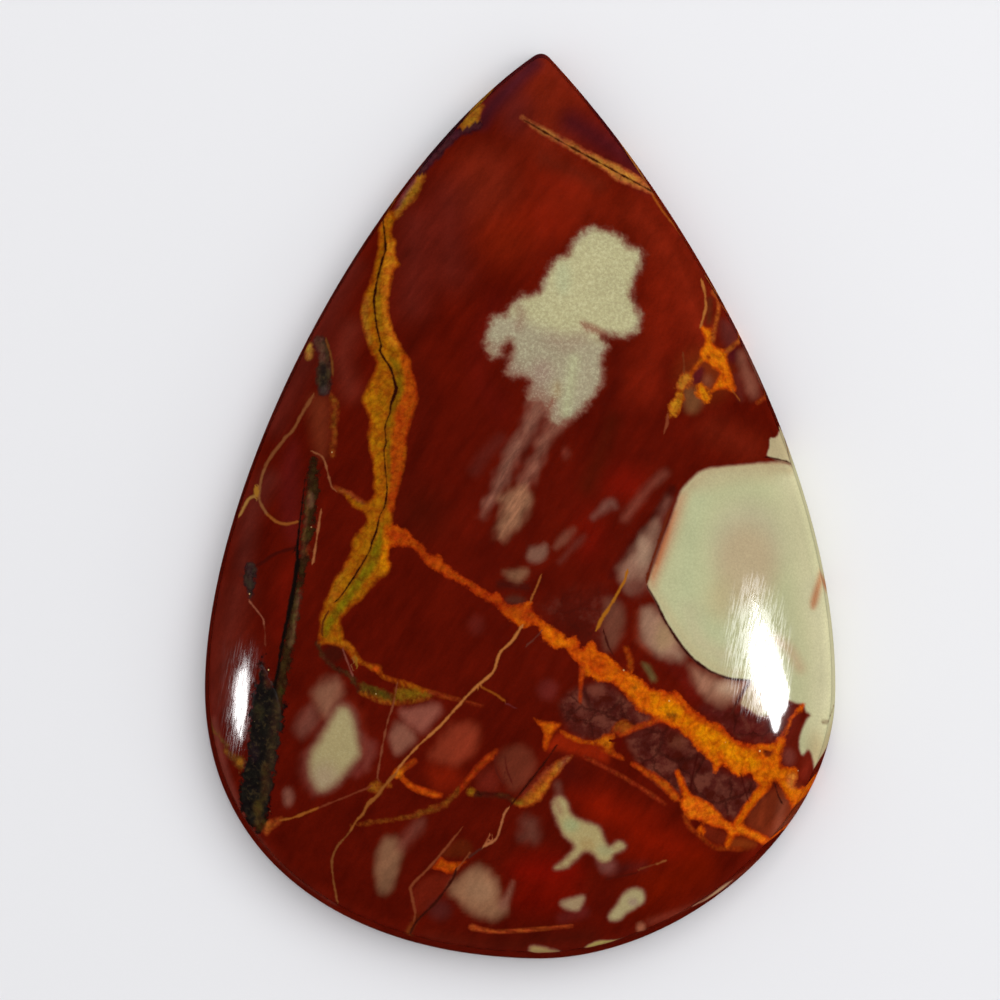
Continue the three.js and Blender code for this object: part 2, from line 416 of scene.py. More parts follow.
# The streaked tail of the middle patch, and soft mauve and brown cells, painted over the ground:
# (colour, softness, strength, shape)
STREAKS = [
    ("7c4a3a", 0.34, 0.95, taper((561, 417, 8), (542, 443, 5.5), (539, 455, 4.5), (525, 482, 6))),
    ("7f5040", 0.34, 0.95, taper((541, 402, 10), (525, 433, 5), (508, 463, 6), (483, 516, 1))),
    ("8c5e44", 0.3, 0.95, area(
        (524, 485), (530, 500), (524, 520), (508, 535), (501, 540), (497, 534), (502, 505), (500, 497))),
    ("6a2c20", 0.2, 0.8, oval(566, 453, 4, 4)),
]
CELLS = [
    # mottled zones
    ("74382a", 0.21, 0.8, oval(598, 692, 8, 5)),
    ("5c2a20", 0.26, 0.8, oval(582, 708, 9, 9)),
    ("62301f", 0.26, 0.8, oval(678, 742, 8, 6)),
    ("5c2a20", 0.25, 0.8, oval(722, 796, 11, 9)),
    ("3a0e0a", 0.21, 0.7, oval(652, 748, 9, 6)),
    ("3a0e0a", 0.21, 0.7, oval(700, 772, 6, 10)),
    # flakes below the middle patch
    ("765040", 0.18, 0.95, area(
        (527, 557), (530, 548), (538, 547), (546, 544), (547, 553), (542, 560), (532, 562))),
    ("7a5038", 0.18, 0.95, area((503, 573), (509, 570), (520, 569), (528, 571), (518, 582))),
    ("6e3c2c", 0.21, 0.9, taper((556, 547, 1.5), (563, 539, 4), (574, 530, 2))),
    ("5e2a20", 0.21, 0.8, taper((560, 562, 1), (577, 543, 3), (584, 536, 1.5))),
    ("74463a", 0.22, 0.95, taper((594, 517, 2), (610, 503, 4), (615, 507, 1))),
    ("74382a", 0.3, 0.9, line(3.2, (664, 474), (650, 487), (625, 518))),
    ("601c14", 0.26, 0.8, oval(476, 625, 8, 9)),
    ("64201a", 0.25, 0.8, oval(548, 690, 10, 10)),
    ("4e2a1e", 0.21, 0.8, oval(515, 600, 10, 4)),
    # beside the great cell
    ("86604e", 0.28, 0.95, area(
        (655, 520), (660, 525), (658, 537), (645, 583), (632, 592), (625, 588), (619, 572), (624, 562),
        (645, 532))),
    ("a4826a", 0.35, 0.85, oval(644, 552, 6, 13)),
    ("5e2c22", 0.34, 0.8, oval(636, 586, 12, 9)),
    ("7a4a3c", 0.34, 0.6, line(2, (668, 500), (660, 518))),
    ("96705a", 0.33, 0.95, area(
        (642, 612), (652, 608), (660, 618), (679, 647), (683, 655), (678, 660), (658, 654), (643, 640))),
    ("9c7c5a", 0.39, 0.9, oval(664, 636, 9, 12)),
    ("7a2814", 0.23, 0.7, line(1.5, (637, 612), (636, 628), (640, 643), (650, 653))),
    ("93644e", 0.34, 0.95, area(
        (693, 668), (712, 677), (735, 683), (746, 685), (728, 704), (708, 698), (694, 680))),
    ("ac8a70", 0.33, 0.9, oval(728, 688, 11, 6)),
    ("66392a", 0.27, 0.9, area((604, 603), (618, 602), (624, 614), (621, 636), (611, 649), (604, 645))),
    ("5c4a28", 0.12, 0.9, area((642, 664), (646, 663), (652, 670), (656, 679), (651, 680))),
    ("7a4434", 0.27, 0.95, area(
        (740, 352), (746, 358), (757, 385), (758, 395), (752, 398), (746, 388), (738, 360))),
    # the lower left
    ("6e1c0e", 0.3, 0.8, line(3, (345, 700), (359, 712), (365, 738), (362, 758))),
    ("6c2c22", 0.3, 0.8, line(3.5, (306, 755), (304, 775), (314, 792))),
    ("6e2c24", 0.3, 0.85, line(4, (372, 745), (366, 762), (356, 772))),
    ("8a5a44", 0.4, 0.9, area((322, 684), (338, 680), (338, 700), (326, 718), (314, 695))),
    ("6e3a2e", 0.35, 0.95, area((310, 705), (318, 722), (303, 738), (297, 732), (298, 720))),
    ("6a3026", 0.27, 0.8, line(3, (363, 738), (370, 750), (366, 766))),
    ("7c4a3c", 0.2, 0.95, oval(288, 797, 5, 8)),
    ("84483a", 0.26, 0.95, area((400, 712), (425, 706), (438, 705), (440, 714), (420, 732))),
    ("84503f", 0.23, 0.95, area((398, 722), (416, 738), (398, 754), (392, 748), (391, 736))),
    ("82301c", 0.34, 0.9, area(
        (455, 725), (476, 726), (476, 748), (460, 763), (450, 765), (430, 757), (436, 745))),
    ("6a2c1c", 0.27, 0.95, area((507, 748), (527, 748), (535, 768), (515, 792), (497, 765))),
    ("6a1e12", 0.34, 0.9, area((478, 778), (486, 766), (494, 768), (500, 784), (496, 792), (480, 790))),
    ("66362a", 0.4, 0.95, area((522, 822), (530, 818), (537, 822), (536, 842), (520, 838), (524, 830))),
    ("845a40", 0.26, 0.95, area((384, 840), (395, 838), (402, 850), (391, 888), (378, 891), (377, 858))),
    ("6a3428", 0.33, 0.9, line(5, (402, 845), (420, 824))),
    ("8e6246", 0.31, 0.97, area(
        (470, 870), (480, 867), (494, 878), (499, 898), (506, 910), (490, 919), (470, 910), (450, 888))),
    ("9a7052", 0.39, 0.8, oval(480, 890, 12, 12)),
    ("845240", 0.18, 0.95, taper((503, 905, 5), (508, 897, 3), (513, 882, 0.5))),
    ("6a3a2e", 0.23, 0.9, line(2.5, (558, 785), (560, 800))),
    ("744038", 0.27, 0.9, area((598, 862), (612, 861), (616, 866), (612, 872), (602, 871))),
    ("4c1814", 0.34, 0.7, line(3, (620, 868), (642, 866))),
    ("9a5a40", 0.12, 0.9, oval(641, 928, 4, 5)),
]

# Pale chalcedony fragments: (colour, softness, raggedness, shape)
CREAM = [
    ("b4b48a", 0.1, 0.02, area(
        (647, 583), (650, 575), (673, 512), (679, 494), (684, 486), (697, 473), (705, 469), (715, 467),
        (768, 462), (783, 462), (794, 466), (808, 465), (845, 560), (848, 700), (838, 760), (822, 782),
        (815, 772), (812, 757), (808, 750), (803, 756), (799, 748), (800, 735), (806, 720), (810, 715),
        (806, 712), (803, 705), (795, 703), (787, 700), (783, 698), (775, 708), (768, 716), (758, 716),
        (748, 709), (740, 704), (745, 690), (750, 683), (742, 680), (732, 679), (714, 673), (705, 668),
        (688, 654), (667, 624), (655, 600), (649, 590))),
    ("b0a07a", 0.06, 0.02, area(
        (770, 438), (776, 437), (781, 428), (785, 436), (790, 450), (796, 466), (785, 462), (775, 459),
        (767, 456), (769, 447))),
    ("b6b084", 0.27, 0.13, area(
        (592, 227), (600, 229), (610, 231), (624, 238), (628, 245), (643, 256), (632, 288), (631, 297),
        (641, 316), (640, 326), (634, 333), (624, 336), (601, 335), (607, 347), (602, 362), (604, 372),
        (602, 382), (588, 403), (570, 421), (552, 422), (543, 404), (530, 400), (527, 392), (531, 385),
        (529, 378), (511, 376), (506, 369), (513, 348), (510, 341), (504, 345), (501, 353), (495, 358),
        (488, 353), (485, 343), (491, 321), (498, 315), (507, 313), (518, 297), (533, 296), (541, 289),
        (543, 280), (554, 261), (567, 254), (576, 238))),
    ("a49468", 0.34, 0.04, area(
        (343, 705), (350, 708), (355, 718), (360, 745), (361, 755), (357, 760), (338, 783), (328, 790),
        (320, 792), (313, 786), (309, 776), (308, 765), (310, 752), (318, 740), (332, 715), (338, 706))),
    ("aa9866", 0.19, 0.04, area(
        (560, 796), (566, 800), (575, 817), (597, 825), (602, 832), (607, 845), (612, 845), (618, 841),
        (624, 843), (625, 848), (614, 855), (611, 860), (604, 863), (598, 860), (594, 855), (589, 852),
        (583, 853), (570, 865), (562, 869), (554, 869), (560, 863), (573, 850), (573, 844), (567, 839),
        (561, 831), (552, 808), (554, 799))),
    ("9c8260", 0.16, 0.03, area(
        (560, 903), (566, 899), (575, 897), (583, 895), (585, 899), (578, 911), (563, 908))),
    ("a8986c", 0.16, 0.03, area(
        (608, 918), (611, 911), (617, 904), (621, 896), (628, 890), (636, 888), (643, 890), (645, 897),
        (642, 904), (626, 914), (620, 920), (612, 921))),
    ("967c4c", 0.12, 0.03, area(
        (531, 946), (540, 946), (550, 949), (558, 951), (556, 956), (545, 957), (532, 957), (529, 952))),
    ("9e8a4c", 0.07, 0.02, area(
        (581, 951), (596, 941), (618, 940), (630, 938), (643, 933), (634, 939), (620, 943), (592, 950),
        (583, 953))),
    ("b08c68", 0.1, 0.02, area((688, 912), (704, 903), (720, 891), (724, 892), (712, 904), (696, 913))),
]
CREAM_STAINS = [
    # the great cell
    ("b2a888", 0.9, 0.9, oval(750, 542, 36, 40)),
    ("b29c7a", 0.7, 0.75, oval(746, 566, 30, 40)),
    ("b2a27a", 0.6, 0.7, oval(722, 600, 14, 18)),
    ("b09a72", 0.5, 0.8, oval(816, 748, 9, 20)),
    ("cac29a", 0.9, 0.9, line(12, (790, 480), (818, 640), (820, 720))),
    ("c6c09a", 0.5, 0.9, line(8, (814, 590), (823, 640), (824, 700))),
    ("b89a78", 0.3, 0.7, line(5, (776, 640), (790, 650), (800, 668))),
    ("b6a684", 0.5, 0.6, line(8, (690, 610), (700, 640), (722, 655))),
    ("b2a47e", 0.5, 0.8, line(6, (698, 486), (730, 477), (770, 474))),
    ("a8b48c", 0.5, 0.25, line(9, (700, 500), (688, 560), (690, 610), (720, 640))),
    ("b09c76", 0.3, 0.85, line(4, (652, 586), (674, 518), (690, 486), (716, 470), (760, 467), (790, 470))),
    ("b4a47c", 0.3, 0.7, line(4, (655, 592), (690, 648), (715, 668), (740, 674))),
    ("a07050", 0.1, 0.7, line(1.5, (684, 484), (698, 472), (718, 466), (750, 463), (785, 463))),
    ("b8805c", 0.5, 0.8, taper((680, 498, 3), (670, 530, 5), (652, 582, 2))),
    ("b06238", 0.2, 0.9, taper((674, 512, 1), (660, 555, 2.5), (652, 577, 1))),
    ("a84e24", 0.1, 0.8, line(1.8, (667, 528), (661, 545), (655, 562))),
    ("a88e6c", 0.2, 0.9, area((740, 684), (768, 684), (770, 700), (758, 718), (738, 706))),
    ("7c5440", 0.25, 0.8, line(4, (740, 712), (758, 720), (774, 718))),
    ("b06a40", 0.16, 0.9, taper((825, 561, 1.5), (815, 598, 3.5), (813, 607, 2))),
    ("6a4a30", 0.08, 0.9, line(1.5, (823, 722), (832, 722))),
    ("7a3a2c", 0.1, 0.9, line(2, (768, 410), (773, 425), (776, 434))),
    # the middle patch, duller below, with thin and reddened places
    ("a0967a", 0.5, 1, area(
        (500, 312), (560, 335), (612, 345), (610, 385), (570, 430), (530, 410), (500, 370), (480, 335))),
    ("8c6a58", 0.3, 0.7, line(4, (518, 306), (522, 314), (519, 326))),
    ("98826c", 0.45, 0.7, line(7, (552, 340), (566, 343), (582, 338))),
    ("8c6c5c", 0.45, 0.85, line(8, (504, 362), (522, 378), (538, 392))),
    ("94786a", 0.4, 0.75, oval(542, 372, 11, 12)),
    ("8c6858", 0.3, 0.6, line(5, (540, 396), (552, 404), (560, 420))),
    ("86604f", 0.3, 0.75, line(4, (487, 345), (506, 352), (508, 372), (528, 392), (544, 414))),
    ("86604f", 0.5, 0.8, oval(537, 399, 11, 7)),
    ("86604f", 0.3, 0.6, line(3, (606, 372), (598, 398), (578, 418), (562, 424))),
    ("948470", 0.2, 0.7, line(2, (498, 314), (520, 296), (542, 288), (550, 262), (592, 228))),
    ("948470", 0.2, 0.6, line(2, (628, 244), (642, 254), (634, 285), (640, 318), (626, 336), (606, 332))),
    ("acae84", 0.3, 0.7, line(5, (574, 360), (570, 385), (566, 412))),
    ("aab088", 0.3, 0.6, oval(563, 278, 8, 16)),
    ("93784f", 0.25, 0.7, oval(557, 390, 4, 8)),
    ("7c3c2e", 0.15, 0.8, line(2.5, (553, 400), (549, 408), (547, 416))),
    ("8a5a45", 0.12, 0.9, area((580, 321), (595, 325), (608, 334), (606, 341), (596, 334), (586, 331))),
    ("5a2a1a", 0.07, 0.9, oval(603, 338, 4, 2.5)),
    ("7c4c3c", 0.15, 0.8, line(2.5, (637, 289), (637, 312))),
    ("7c5c4c", 0.3, 0.85, line(5, (611, 350), (606, 364), (606, 388))),
    # the smaller ones
    ("7a3020", 0.12, 0.8, line(1.5, (338, 704), (350, 707), (358, 722), (361, 740))),
    ("a0866c", 0.5, 0.7, oval(324, 778, 14, 14)),
    ("9aa070", 0.2, 0.8, oval(571, 825, 8, 7)),
    ("947050", 0.15, 0.8, line(3, (556, 800), (560, 812))),
    ("a48a58", 0.15, 0.9, oval(587, 845, 7, 7)),
    ("9a9468", 0.15, 0.8, oval(605, 850, 8, 6)),
    ("9a7e6a", 0.1, 0.8, oval(633, 902, 5, 4)),
]

# Ochre and orange veins, and the dark rock in the fissures: (colour, raggedness, shape)
OCHRE, AMBER, ORANGE, EMBER, RUST = "985a08", "ba7214", "c66206", "a8460a", "8a3a0c"
VEINS = [
    (OCHRE, 0.05, area(
        (386, 212), (380, 225), (378, 240), (378, 250), (371, 280), (363, 300), (361, 320), (370, 350),
        (375, 358), (375, 370), (366, 390), (362, 400), (370, 420), (368, 440), (374, 470), (373, 485),
        (374, 495), (364, 502), (343, 491), (350, 503), (357, 509), (364, 512), (367, 520), (363, 527),
        (355, 535), (351, 545), (351, 551), (341, 571), (335, 579), (321, 613), (320, 625), (320, 640),
        (330, 642), (344, 644), (341, 624), (343, 616), (362, 599), (368, 591), (381, 578), (387, 575),
        (391, 564), (388, 558), (394, 530), (392, 519), (396, 498), (404, 466), (409, 428), (418, 397),
        (411, 368), (410, 360), (400, 345), (392, 326), (388, 303), (392, 280), (394, 270), (400, 265),
        (397, 260), (395, 250), (396, 241), (391, 232), (396, 213))),
    ("8e5e16", 0.06, taper((421, 176, 4), (412, 192, 7), (396, 214, 4))),
    ("8a5a14", 0.05, area(
        (478, 104), (484, 105), (481, 113), (478, 122), (462, 132), (459, 127), (462, 118))),
    ("3e1c20", 0.08, line(4.5, (477, 125), (457, 134), (447, 142), (440, 151), (418, 173))),
    ("8a4a18", 0.05, taper((333, 487, 2), (350, 495, 3), (366, 508, 4))),
    # the diagonal vein
    (ORANGE, 0.1, area(
        (392, 525), (407, 532), (428, 552), (441, 557), (455, 572), (478, 585), (491, 594), (497, 593),
        (512, 606), (531, 601), (533, 610), (545, 622), (562, 633), (566, 639), (577, 637), (580, 647),
        (585, 646), (590, 641), (594, 643), (598, 651), (612, 658), (625, 670), (646, 683), (651, 688),
        (664, 690), (670, 693), (679, 692), (688, 705), (711, 722), (719, 724), (737, 741), (752, 745),
        (762, 744), (769, 745), (779, 738), (790, 719), (802, 704), (803, 707), (791, 723), (781, 756),
        (781, 765), (797, 769), (798, 776), (796, 786), (806, 789), (795, 811), (782, 790), (775, 780),
        (760, 787), (752, 775), (747, 772), (743, 776), (737, 776), (725, 765), (719, 767), (716, 772),
        (713, 770), (711, 761), (693, 745), (680, 730), (672, 728), (664, 723), (640, 711), (614, 684),
        (598, 681), (585, 674), (583, 665), (577, 662), (566, 649), (552, 647), (546, 643), (539, 629),
        (533, 624), (526, 628), (520, 627), (513, 621), (506, 617), (496, 605), (489, 602), (459, 582),
        (446, 578), (441, 573), (434, 570), (413, 550), (404, 546), (396, 547), (390, 548))),
    (ORANGE, 0.04, taper((766, 785, 5), (747, 808, 4), (733, 832, 3.5), (727, 845, 2.5))),
    ("d0680c", 0.05, area(
        (686, 796), (696, 797), (711, 804), (724, 819), (733, 824), (745, 826), (770, 838), (777, 843),
        (768, 846), (745, 836), (734, 835), (721, 828), (713, 826), (697, 819), (688, 818), (681, 804))),
    (ORANGE, 0.04, taper((677, 772, 2), (682, 783, 3), (687, 795, 4))),
    (ORANGE, 0.04, area((697, 832), (701, 825), (705, 830), (703, 834))),
    (RUST, 0.04, taper((684, 815, 2), (690, 827, 2.5), (698, 834, 2), (715, 847, 2.5), (742, 849, 2))),
    (EMBER, 0.03, taper((584, 667, 4), (581, 680, 2), (580, 703, 0.8))),
    ("8a3c0a", 0.05, line(3, (626, 648), (630, 660), (630, 668))),
    # the broken veins below it
    ("b65a08", 0.04, area(
        (534, 719), (540, 721), (561, 723), (556, 729), (551, 736), (548, 746), (545, 750), (543, 741),
        (544, 732))),
    ("b05c0a", 0.05, area(
        (562, 731), (586, 741), (598, 739), (606, 734), (615, 736), (611, 749), (604, 749), (596, 745),
        (580, 743), (566, 737))),
    ("a84c0c", 0.04, taper((604, 750, 3), (618, 756, 2.5), (623, 759, 1))),
    ("a0440f", 0.05, line(3, (664, 717), (620, 734))),
    ("84400f", 0.05, area((612, 731), (614, 724), (622, 719), (630, 722), (634, 729), (622, 734))),
    ("8c3c14", 0.05, line(1.8, (585, 757), (630, 781), (665, 804))),
    ("a84c0c", 0.06, taper((632, 764, 1.5), (638, 767, 3), (662, 783, 4), (676, 797, 4))),
    ("984e14", 0.07, area(
        (572, 756), (553, 780), (542, 798), (527, 808), (513, 804), (520, 797), (543, 772), (557, 761))),
    # the net of threads at the lower left
    ("9c5c0c", 0.04, taper(
        (322, 642, 3), (332, 641, 3), (347, 646, 4.5), (358, 660, 3), (366, 664, 2), (373, 668, 3),
        (377, 668, 3.5), (380, 674, 2), (390, 679, 1.8), (412, 686, 2.2), (425, 691, 2), (482, 706, 1))),
    ("74520e", 0.08, area((394, 690), (404, 687), (432, 693), (428, 698), (405, 701), (394, 700))),
    ("8a5a14", 0.05, line(1.5, (361, 692), (375, 700), (392, 703), (410, 702), (428, 698))),
    ("4e3016", 0.1, line(2, (318, 644), (322, 655), (335, 668), (350, 675), (358, 690))),
    ("5c4412", 0.1, area((358, 683), (368, 684), (394, 695), (389, 702), (375, 697), (361, 690))),
    ("c06c10", 0.05, area((392, 774), (397, 768), (403, 772), (400, 779), (395, 778))),
    ("9c4a0c", 0.03, line(3, (400, 770), (407, 766), (414, 761))),
    ("b8560c", 0.03, taper((399, 776, 2), (413, 787, 3), (433, 794, 3.5), (441, 795, 2))),
    ("8a5412", 0.05, area(
        (377, 779), (382, 784), (390, 783), (392, 787), (384, 789), (380, 795), (367, 789))),
    ("7c4612", 0.08, taper(
        (352, 825, 1.5), (410, 817, 2.4), (420, 813, 2.8), (445, 804, 2.8), (460, 787, 1.6))),
    ("9a3c0c", 0.04, taper((497, 750, 1), (490, 757, 3.5), (476, 770, 3), (460, 790, 2))),
    ("8a6412", 0.04, oval(471, 792, 5, 4)),
    ("4a2410", 0.05, line(2.6, (476, 794), (505, 796), (512, 800))),
    ("b04c08", 0.04, area(
        (440, 857), (436, 863), (432, 868), (440, 870), (450, 874), (456, 870), (468, 860), (463, 862),
        (446, 861))),
    ("6a2c0e", 0.06, line(4, (416, 917), (410, 928), (406, 940))),
    ("b86424", 0.02, taper((472, 927, 3), (490, 931, 1.5), (515, 931, 1.5), (572, 926, 1))),
    ("96501a", 0.04, area((262, 825), (270, 820), (282, 817), (281, 823), (273, 829), (266, 836))),
    # the tip's vein
    ("a2662c", 0.05, taper(
        (522, 118, 2), (530, 123, 2), (540, 129, 3.5), (600, 162, 5), (622, 175, 7.5), (656, 192, 3))),
    # the branching vein at the right
    ("a05a1c", 0.03, taper((714, 292, 3), (718, 300, 2), (718, 312, 1.8), (712, 343, 2))),
    ("c86c0a", 0.04, area(
        (701, 326), (706, 328), (711, 330), (714, 345), (726, 352), (727, 360), (733, 380), (736, 388),
        (734, 392), (725, 389), (716, 390), (711, 392), (718, 378), (720, 372), (713, 368), (707, 362),
        (702, 360), (700, 352), (704, 345), (705, 338), (702, 333))),
    ("a8620f", 0.04, line(2, (702, 360), (692, 372), (688, 380), (680, 390))),
    ("a8681c", 0.13, area((676, 387), (683, 374), (689, 371), (692, 384), (682, 391))),
    ("c87c0c", 0.12, area((700, 382), (706, 385), (711, 397), (706, 403), (696, 394))),
    ("ac7014", 0.12, area((681, 389), (684, 400), (676, 416), (668, 417), (670, 404))),
    ("9a5c1c", 0.03, line(2, (726, 352), (741, 339))),
    ("8a4414", 0.04, line(2, (758, 402), (765, 398), (768, 396))),
    # the fissure at the left
    ("42301f", 0.08, area(
        (315, 337), (324, 336), (330, 350), (332, 372), (330, 393), (320, 395), (316, 375), (318, 355),
        (313, 345))),
    ("a08430", 0.04, area((306, 345), (313, 344), (312, 358), (306, 359))),
    ("7a4212", 0.1, taper((331, 395, 3), (335, 408, 4), (332, 455, 2.5))),
    ("33220f", 0.17, area(
        (314, 458), (318, 470), (317, 505), (300, 605), (296, 640), (290, 660), (284, 700), (278, 710),
        (272, 697), (275, 685), (293, 590), (297, 575), (307, 480))),
    ("17120e", 0.2, area(
        (262, 654), (259, 675), (252, 700), (247, 757), (243, 770), (241, 812), (258, 832), (266, 820),
        (275, 770), (284, 710), (283, 696), (268, 676))),
    ("3a2c24", 0.14, area((245, 565), (253, 563), (256, 575), (252, 598), (243, 580))),
    ("705a20", 0.08, line(1.6, (208, 722), (213, 730), (228, 745))),
    ("6c4214", 0.12, area((224, 748), (232, 752), (245, 758), (243, 772), (225, 755))),
]
VEIN_STAINS = [
    # ochre: amber along its right, redder in the middle, olive beside the crack
    (AMBER, 0.12, 0.9, taper((391, 245, 5), (390, 262, 6), (386, 285, 5), (389, 325, 5), (395, 342, 6))),
    ("a04209", 0.12, 0.95, taper(
        (404, 358, 4), (410, 375, 6), (412, 392, 8), (406, 410, 9), (398, 450, 7), (397, 470, 6),
        (391, 508, 4))),
    ("c47406", 0.1, 0.9, line(5, (389, 530), (387, 548), (385, 566))),
    ("80600e", 0.1, 0.6, taper((381, 268, 1), (378, 290, 3), (378, 310, 3), (381, 330, 2))),
    ("6a5208", 0.1, 0.75, taper((390, 357, 2), (397, 368, 3), (399, 394, 3), (389, 420, 1.5), (389, 480, 1))),
    ("6e6009", 0.14, 0.85, taper(
        (382, 525, 1), (375, 555, 5), (357, 584, 4.5), (330, 622, 4), (326, 634, 3))),
    ("966218", 0.1, 0.8, line(4, (366, 300), (364, 320), (368, 342))),
    ("a86c08", 0.12, 0.6, line(4, (372, 378), (370, 400), (375, 425), (378, 500))),
    ("a06812", 0.12, 0.7, line(3, (345, 568), (337, 585), (330, 603))),
    # the diagonal vein: ember at its thin end, yellow in the middle, red at the edges
    ("9e3c08", 0.3, 0.95, line(10, (395, 535), (480, 592), (530, 615))),
    ("ac4006", 0.25, 0.8, line(8, (575, 650), (590, 660), (604, 668))),
    ("cc7804", 0.2, 0.9, taper((655, 703, 6), (695, 724, 9), (715, 740, 10), (752, 762, 6))),
    ("b44a08", 0.1, 0.85, taper(
        (640, 682, 2), (662, 692, 3), (680, 698, 4), (690, 712, 4), (722, 729, 5), (738, 742, 4),
        (755, 748, 3))),
    ("b04a0a", 0.1, 0.6, line(2, (612, 686), (634, 706), (664, 723), (690, 742))),
    ("6a3a0c", 0.05, 0.7, oval(634, 688, 3, 2)),
    ("6a3a0c", 0.06, 0.8, oval(672, 715, 6, 3)),
    ("5a1c0a", 0.06, 0.9, area((763, 750), (770, 751), (775, 749), (772, 755), (766, 757))),
    ("c8742a", 0.1, 0.95, oval(793, 781, 6, 8)),
    # the smaller ones
    ("7e3e22", 0.15, 0.85, line(3, (522, 794), (535, 780), (550, 764))),
    ("84603a", 0.15, 0.7, line(2, (556, 770), (568, 758))),
    ("7a5c14", 0.1, 0.8, oval(518, 802, 5, 4)),
    ("c07018", 0.12, 0.8, line(2, (557, 768), (546, 786), (531, 801))),
    ("8a3c18", 0.1, 0.9, line(3, (430, 692), (455, 699), (484, 707))),
    ("b4500c", 0.08, 0.9, oval(376, 669, 4, 3)),
    ("9a6410", 0.08, 0.8, line(1.5, (362, 695), (376, 698), (392, 703))),
    ("44380c", 0.1, 0.8, line(2, (364, 687), (374, 690), (386, 696))),
    ("94602e", 0.2, 0.8, line(5, (522, 118), (560, 140))),
    ("b0762e", 0.15, 0.8, line(4, (600, 164), (640, 183))),
    ("6a3a38", 0.1, 0.85, line(4, (412, 179), (404, 192), (396, 205))),
    ("c05a06", 0.1, 0.8, oval(728, 382, 7, 9)),
    ("7a1c08", 0.04, 0.8, oval(708, 357, 2, 2)),
    # the fissure
    ("5e3c30", 0.14, 0.85, taper((318, 341, 5), (322, 358, 4))),
    ("241a14", 0.1, 0.9, taper((323, 366, 3), (324, 380, 4), (322, 391, 3))),
    ("4a3c34", 0.1, 0.7, oval(324, 390, 4, 4)),
    ("6a4c34", 0.08, 0.8, oval(311, 500, 3, 8)),
    ("3e3014", 0.1, 0.8, oval(308, 530, 3, 10)),
    ("7a3818", 0.08, 0.8, oval(309, 550, 3, 6)),
    ("6a5432", 0.14, 0.8, line(2, (300, 592), (296, 618), (291, 645))),
    ("7a4e2c", 0.1, 0.6, line(1.2, (309, 492), (305, 525), (302, 556))),
    ("38300f", 0.1, 0.8, line(3, (282, 690), (279, 706))),
    ("54200e", 0.2, 0.85, line(2.5, (266, 662), (269, 684))),
    ("3a2814", 0.3, 0.9, taper((278, 700, 3), (268, 790, 3))),
    ("2e2a14", 0.12, 0.8, oval(259, 712, 5, 9)),
    ("241418", 0.12, 0.8, oval(254, 752, 5, 10)),
    ("3e2c10", 0.1, 0.9, line(3, (265, 766), (264, 799))),
    ("4a3812", 0.12, 0.9, oval(258, 808, 5, 8)),
    ("3e2a10", 0.1, 0.9, oval(260, 824, 6, 8)),
    ("2a241c", 0.08, 0.8, line(1.5, (253, 572), (253, 592))),
    ("9a641c", 0.08, 0.8, oval(240, 762, 3, 3)),
]

